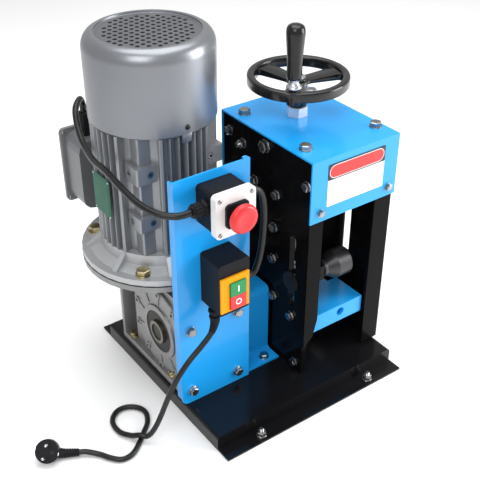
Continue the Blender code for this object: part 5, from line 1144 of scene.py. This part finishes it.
def make_key_marks():
    """The bar and the ring on the start and stop keys."""
    wide, high = START_BAR_HALF
    bar = rounded(BUTTON_MIDDLE_X - wide, BUTTON_MIDDLE_X + wide, START_Z - high, START_Z + high,
                  START_BAR_CORNER, 3)
    mark = slab(bar, "Y", BUTTON_FRONT - MARK_SUNK, BUTTON_FRONT + MARK_EDGE)
    finish_piece("start_mark", mark, INK_WHITE, body="start_key")
    ring = turned(band(*STOP_RING), (BUTTON_MIDDLE_X, BUTTON_FRONT + MARK_EDGE, STOP_KEY_Z), FRONT)
    finish_piece("stop_mark", ring, INK_WHITE, body="stop_key")


def make_cover_screws():
    places = four_corners((STOP_X, STOP_X), (STOP_Z, STOP_Z), -COVER_SCREW_RUN)
    screws = [pan_screw((x, STOP_COVER_FRONT, z), FRONT, *COVER_SCREW) for x, z in places]
    finish_piece("stop_cover_screws", screws, BOLT)


GLAND_HEX = 0.0215
GLAND_RIB_R = (0.0106, 0.0098)
GLAND_RIBS = 16
# Along x: where each gland's cap starts, where its hexagon starts, and where that ends
LEFT_GLAND = (0.0090, 0.0225, 0.0298)
RIGHT_GLAND = (0.0992, 0.0960, 0.0922)


def gland_nut(low, middle, high):
    """A cable gland's hexagon and the ribbed cap beside it, along X."""
    centre = (SIDE_GLAND_Y, SIDE_GLAND_Z)
    hexagon = slab(circle(centre, GLAND_HEX / sqrt(3), 6, 0.3), "X", middle, high)
    ribs = []
    for i in range(GLAND_RIBS * 2):
        for share in (0.0, 0.45):
            ribs.append(on_circle(centre, GLAND_RIB_R[i % 2], pi * (i + share) / GLAND_RIBS))
    return gathered([hexagon, slab(ribs, "X", low, middle)])


def make_glands():
    left = gland_nut(*LEFT_GLAND)
    right = gland_nut(*RIGHT_GLAND)
    finish_piece("gland_nuts", [left, right], MOULDED, 30, 0.0004)


# Plates

LABEL_Y = 0.0325
LABEL_X = (0.2205, 0.3310)
LABEL_Z = (0.3135, 0.3825)
LABEL_BACK = 0.00004
LABEL_CORNER = 0.0012
LABEL_FIELD_DEEP = 0.0005
LABEL_BAND_DEEP = 0.0007
CORNER_SLACK = 0.0001
LABEL_BAND_SHARE = 0.37
# Each inner plate's inset in the band, how far it stands out, and its finish
LABEL_INNERS = {
    "label_ring": (0.0020, 0.0008, LABEL_WHITE),
    "label_bar": (0.0030, 0.0009, LABEL_RED),
}


def label_part(name, x, z, deep, finish, corner=LABEL_CORNER):
    finish_piece(name, slab(rounded(*x, *z, corner), "Y", LABEL_Y - deep, LABEL_Y - LABEL_BACK), finish)


def make_label():
    """The front plate, with its words and pictogram left out: a white field, bands and a bar."""
    left, right = LABEL_X
    low, high = LABEL_Z
    label_part("label_field", LABEL_X, LABEL_Z, LABEL_FIELD_DEEP, LABEL_WHITE)
    middle = high - (high - low) * LABEL_BAND_SHARE
    label_part("label_band", LABEL_X, (middle, high), LABEL_BAND_DEEP, LABEL_DARK)
    for name, (inset, deep, finish) in LABEL_INNERS.items():
        corner = (high - middle) / 2 - inset - CORNER_SLACK
        label_part(name, (left + inset, right - inset), (middle + inset, high - inset), deep, finish, corner)


# Bolts in their places

PLATE_LEFT = 0.193
PLATE_RIGHT = 0.357
COVER_TOP = 0.394
COVER_FRONT = 0.0325
PANEL_FRONT = 0.0877
PANEL_TAB = 0.003
LIP_TOP = 0.003 - BASE_HEIGHT
MOTOR_FLANGE_HIGH = 0.2068
FLANGE_BOLTS = [spoke(radians(45 + 90 * i)) * 0.1075 for i in range(4)]
# Each group's name, finish and rows. A row has its places, side, level, size, first turn and step
BOLT_GROUPS = (
    ("plate_bolts", BOLT, (
        (((0.1154, 0.3046), (0.1195, 0.2447), (0.1206, 0.1858), (0.1174, 0.1148), (0.0577, 0.0137),
          (0.2373, 0.3658), (0.1702, 0.3062), (0.0443, 0.3515)), LEFT, PLATE_LEFT, M8_HEAD, 0, 0.4),
        (((0.2016, 0.3571),), LEFT, PLATE_LEFT, M8_NUT, 0.2, 0, STUD_LONG),
        (((0.1444, 0.3755),), LEFT, PLATE_LEFT, M10_WIDE, 0.5, 0),
        (((0.0714, 0.1011),), LEFT, PLATE_LEFT, M8_HEAD, 0.8, 0),
    )),
    ("right_plate_bolts", BOLT, (
        (((0.1344, 0.300), (0.1344, 0.090), (0.220, 0.300), (0.220, 0.090)),
         RIGHT, PLATE_RIGHT, M8_HEAD, 0, 0.4),
    )),
    ("cover_bolts", BOLT, (
        (((0.211, 0.074), (0.211, 0.224), (0.345, 0.071), (0.345, 0.223)),
         UP, COVER_TOP, M10_HEAD, 0.3, 0.3),
        (((0.2093, 0.3070), (0.3442, 0.3070)), FRONT, COVER_FRONT, M6_HEAD, 0.2, 0.4),
    )),
    ("panel_bolts", BOLT, (
        (((0.0137, 0.142), (0.0995, 0.141), (0.0137, 0.0237), (0.0994, 0.0205)),
         FRONT, PANEL_FRONT, M8_HEAD, 0, 0.3),
        (((0.167, 0.106),), UP, PANEL_TAB, M8_HEAD, 0.6, 0),
    )),
    ("lip_bolts", BOLT, (
        (((0.072, -0.0145), (0.293, -0.0145), (0.072, 0.3525), (0.293, 0.3525)),
         UP, LIP_TOP, M8_NUT, 0, 0.5, STUD_LONG),
    )),
    ("flange_bolts", YELLOW_ZINC, (
        (about_motor(FLANGE_BOLTS), UP, MOTOR_FLANGE_HIGH, M12_HEAD, 0.2, 0.5),
    )),
)


def make_bolts():
    for name, finish, rows in BOLT_GROUPS:
        finish_piece(name, [bolt for row in rows for bolt in bolt_row(*row)], finish, 30)


GEARBOX_LEFT = 0.011
GEARBOX_RIGHT = 0.117
FOOT_HIGH = 0.012
FOOT_EDGE = 0.0012
# The low and high corner of the foot plate, the back plate and the neck
FEET = (
    ((0.0050, 0.0912, GAP), (0.1230, 0.2960, FOOT_HIGH)),
    ((0.0050, 0.2880, FOOT_HIGH - GAP), (0.1230, 0.2960, 0.1800)),
    ((0.0300, 0.2450, FOOT_HIGH - GAP), (0.0980, 0.2920, 0.1700)),
)
FOOT_BOLTS = ((0.0145, 0.274), (0.0140, 0.150), (0.1135, 0.274), (0.1135, 0.150))
FLANGE_JOINT_Z = 0.1961
# A dark ring at the joint of the motor and input flanges: painted shade for the dark flange side and the gap
# between them
FLANGE_SEAM_SHADE_RING = (0.1210, 0.1253, -0.0009, 0.0009)


def make_gearbox_feet():
    """The foot plate and the back plate of the gearbox, with the neck between plate and body."""
    finish_piece("gearbox_feet", [box(low, high) for low, high in FEET], CAST, 30, FOOT_EDGE)
    bolts = bolt_row(FOOT_BOLTS, UP, FOOT_HIGH, M8_HEAD, 0, 0.4)
    finish_piece("foot_bolts", bolts, YELLOW_ZINC, 30)
    # The dark ring is painted shade at the flanges' joint
    seam = turned(band(*FLANGE_SEAM_SHADE_RING), MOTOR_AXIS + raised(FLANGE_JOINT_Z), steps=96)
    finish_piece("flange_seam_shade", seam, SHADE_PAINT_BLACK, 30)


SIDE_BOSSES = 10
SIDE_BOSS_RING_R = 0.0705
SIDE_BOSS = ((0, -0.003), (0.0068, -0.003), (0.0064, 0.0016), (0.0056, 0.0024), (0, 0.0024))
# A dark disc in each boss, painted as the shade in its socket
SIDE_SOCKET_SHADE_DISC = (0, 0.0030, 0.0024, 0.0026)
# A rib runs inward from each boss: how far from the boss and to its side each corner lies
SIDE_RIB = ((-0.021, 0.0012), (-0.005, 0.0016), (-0.005, -0.0016), (-0.021, -0.0012))
SIDE_RIB_SUNK = 0.0020
SIDE_RIB_PROUD = 0.0014


def make_cover_plate_screws():
    """The bosses and ribs round each side cover of the gearbox, with a dark disc in each boss painted as the
    shade in its socket.
    """
    bosses = []
    sockets = []
    for i in range(SIDE_BOSSES):
        angle = tau * (i + 0.5) / SIDE_BOSSES
        y, z = on_circle(OUTPUT, SIDE_BOSS_RING_R, angle)
        lean = spoke(angle)
        rib = [(y + lean[0] * run + lean[1] * side, z + lean[1] * run - lean[0] * side)
               for run, side in SIDE_RIB]
        for face, way in ((GEARBOX_LEFT, LEFT), (GEARBOX_RIGHT, RIGHT)):
            bosses.append(turned(SIDE_BOSS, (face, y, z), way, 24))
            sockets.append(turned(band(*SIDE_SOCKET_SHADE_DISC), (face, y, z), way, 16))
            low, high = sorted((face - way[0] * SIDE_RIB_SUNK, face + way[0] * SIDE_RIB_PROUD))
            bosses.append(slab(rib, "X", low, high))
    finish_piece("gearbox_bosses", bosses, CAST, 30)
    finish_piece("gearbox_socket_shade", sockets, SHADE_PAINT_BLACK, 30)


# Plug

PLUG_X = -0.2175
PLUG_Y = 0.133
PLUG_R = 0.018
PLUG_THICK = 0.016
PLUG_ELEVATION = radians(42)
CORD_RELIEF_R = 0.0058
RELIEF_BACK = 0.0015
RELIEF_PAST = 0.0050
# Radius and height of the plug's body about its middle, and of a pin
PLUG_BODY = ((0, -0.008), (0.014, -0.008), (0.0168, -0.0064), (PLUG_R, -0.0035), (PLUG_R, 0.0068),
             (0.0168, 0.008), (0, 0.008))
PIN = ((0, 0), (0.0024, 0), (0.0024, 0.0175), (0.0018, 0.0194), (0.0008, 0.0199), (0, 0.0199))
PIN_APART = 0.0095
PIN_SUNK = 0.001
NECK_COLLAR_R = 0.0090
NECK_COLLAR_LONG = 0.011
NECK_WAIST_R = 0.0078
NECK_WAIST_SHARE = 0.75
RELIEF_RIBS = 7
RIB_TIP_DROP = 0.0001
RIB_GROOVE = 0.0011
RELIEF_END_DROP = 0.0006
# A dark disc painted as the shade in the plug's earth socket
EARTH_HOLE_SHADE_DISC = (0, 0.0026, 0, 0.0002)
EARTH_RUN = 0.0085
CLIP_SUNK = 0.0006
CLIP_SPAN = (-0.0060, 0.00736)
CLIP_DEPTHS = (-0.0004, 0.0007)
CLIP_HALF = 0.0021


def plug_axes():
    """The plug's centre, the way its pins point, and where its strain relief starts."""
    normal = facing(PLUG_ELEVATION)
    drop = PLUG_R * cos(PLUG_ELEVATION) + PLUG_THICK / 2 * sin(PLUG_ELEVATION)
    centre = Vector((PLUG_X, PLUG_Y, GAP - BASE_HEIGHT + drop))
    return centre, normal, RELIEF_END - RELIEF_WAY * RELIEF_LONG


def ribbed(foot_r, end_r, length, start, direction):
    """A strain relief: a tapered sleeve with grooves round it."""
    profile = [(0, 0)]
    step = length / RELIEF_RIBS
    for i in range(RELIEF_RIBS):
        low = length * i / RELIEF_RIBS
        radius = foot_r + (end_r - foot_r) * i / RELIEF_RIBS
        profile += [(radius, low), (radius - RIB_TIP_DROP, low + step * 0.62),
                    (radius - RIB_GROOVE, low + step * 0.70), (radius - RIB_GROOVE, low + step * 0.94)]
    profile += [(end_r - RELIEF_END_DROP, length), (0, length)]
    return turned(profile, start, direction, 32)


def make_plug():
    centre, normal, end = plug_axes()
    half = PLUG_THICK / 2
    body = turned(PLUG_BODY, centre, normal, 72)
    toward = (end - centre).normalized()
    run = (end - centre).length
    sleeve = ((0, 0), (NECK_COLLAR_R, 0), (NECK_COLLAR_R, NECK_COLLAR_LONG),
              (NECK_WAIST_R, run * NECK_WAIST_SHARE), (RELIEF_FOOT_R, run), (0, run))
    neck = turned(sleeve, centre, toward, 40)
    relief = ribbed(RELIEF_FOOT_R, CORD_RELIEF_R, RELIEF_LONG + RELIEF_PAST,
                    end - RELIEF_WAY * RELIEF_BACK, RELIEF_WAY)
    plug = finish_piece("plug_moulding", [body, neck, relief], MOULDED, 40)
    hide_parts("plug_body")
    sideways = normal.cross(toward).normalized()
    across = normal.cross(sideways).normalized()
    pins = []
    clips = []
    for sign in (-1, 1):
        foot = centre + sideways * sign * PIN_APART + normal * (half - PIN_SUNK)
        pins.append(turned(PIN, foot, normal, 24))
        middle = centre + across * sign * (PLUG_R - CLIP_SUNK)
        clips.append(clip_strip(middle, sideways, across * sign, normal))
    metal = finish_piece("plug_pins", pins, ZINC, 40)
    strips = finish_piece("plug_clips", clips, ZINC, 40)
    # The earth socket is a dark disc of painted shade
    hole = turned(band(*EARTH_HOLE_SHADE_DISC), centre + normal * half - across * EARTH_RUN, normal, 24)
    earth = finish_piece("plug_earth_hole_shade", hole, SHADE_PAINT_BLACK, 40)
    return plug, metal, strips, earth


def clip_strip(middle, sideways, outward, normal):
    """A spring strip let into the plug's side."""
    rings = []
    for run in CLIP_SPAN:
        near, far = (middle + normal * run + outward * out for out in CLIP_DEPTHS)
        side = sideways * CLIP_HALF
        rings.append((near - side, near + side, far + side, far - side))
    return loft(rings)


# Guide roller

ROLLER_AXIS = (0.072, 0.169)
# Radius of the roller at each place along x
ROLLER = ((0.0076, 0.252), (0.0132, 0.252), (0.0140, 0.2528), (0.0140, 0.258), (0.0240, 0.274),
          (0.0240, 0.299), (0.0230, 0.300), (0.0076, 0.300))


def make_roller():
    """A stepped roller in satin black: a narrow end, a cone and a broad land."""
    bm = turned(ROLLER, (0, *ROLLER_AXIS), RIGHT, 96)
    roller = finish_piece("turned_roller", bm, SATIN, 25, body="roller")
    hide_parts("guide_roller")


def main():
    make_camera()
    make_floor()
    make_lights()
    dress_nodes()
    cords = make_cords()
    sleeve = cord_sleeve(cords[0])
    plug = make_plug()
    make_handwheel()
    make_screw_end()
    make_fan_cover()
    make_stator()
    make_terminal_lid()
    make_nameplate()
    make_stop_head()
    make_key_marks()
    make_cover_screws()
    make_glands()
    make_label()
    make_bolts()
    make_gearbox_feet()
    make_cover_plate_screws()
    make_roller()


main()
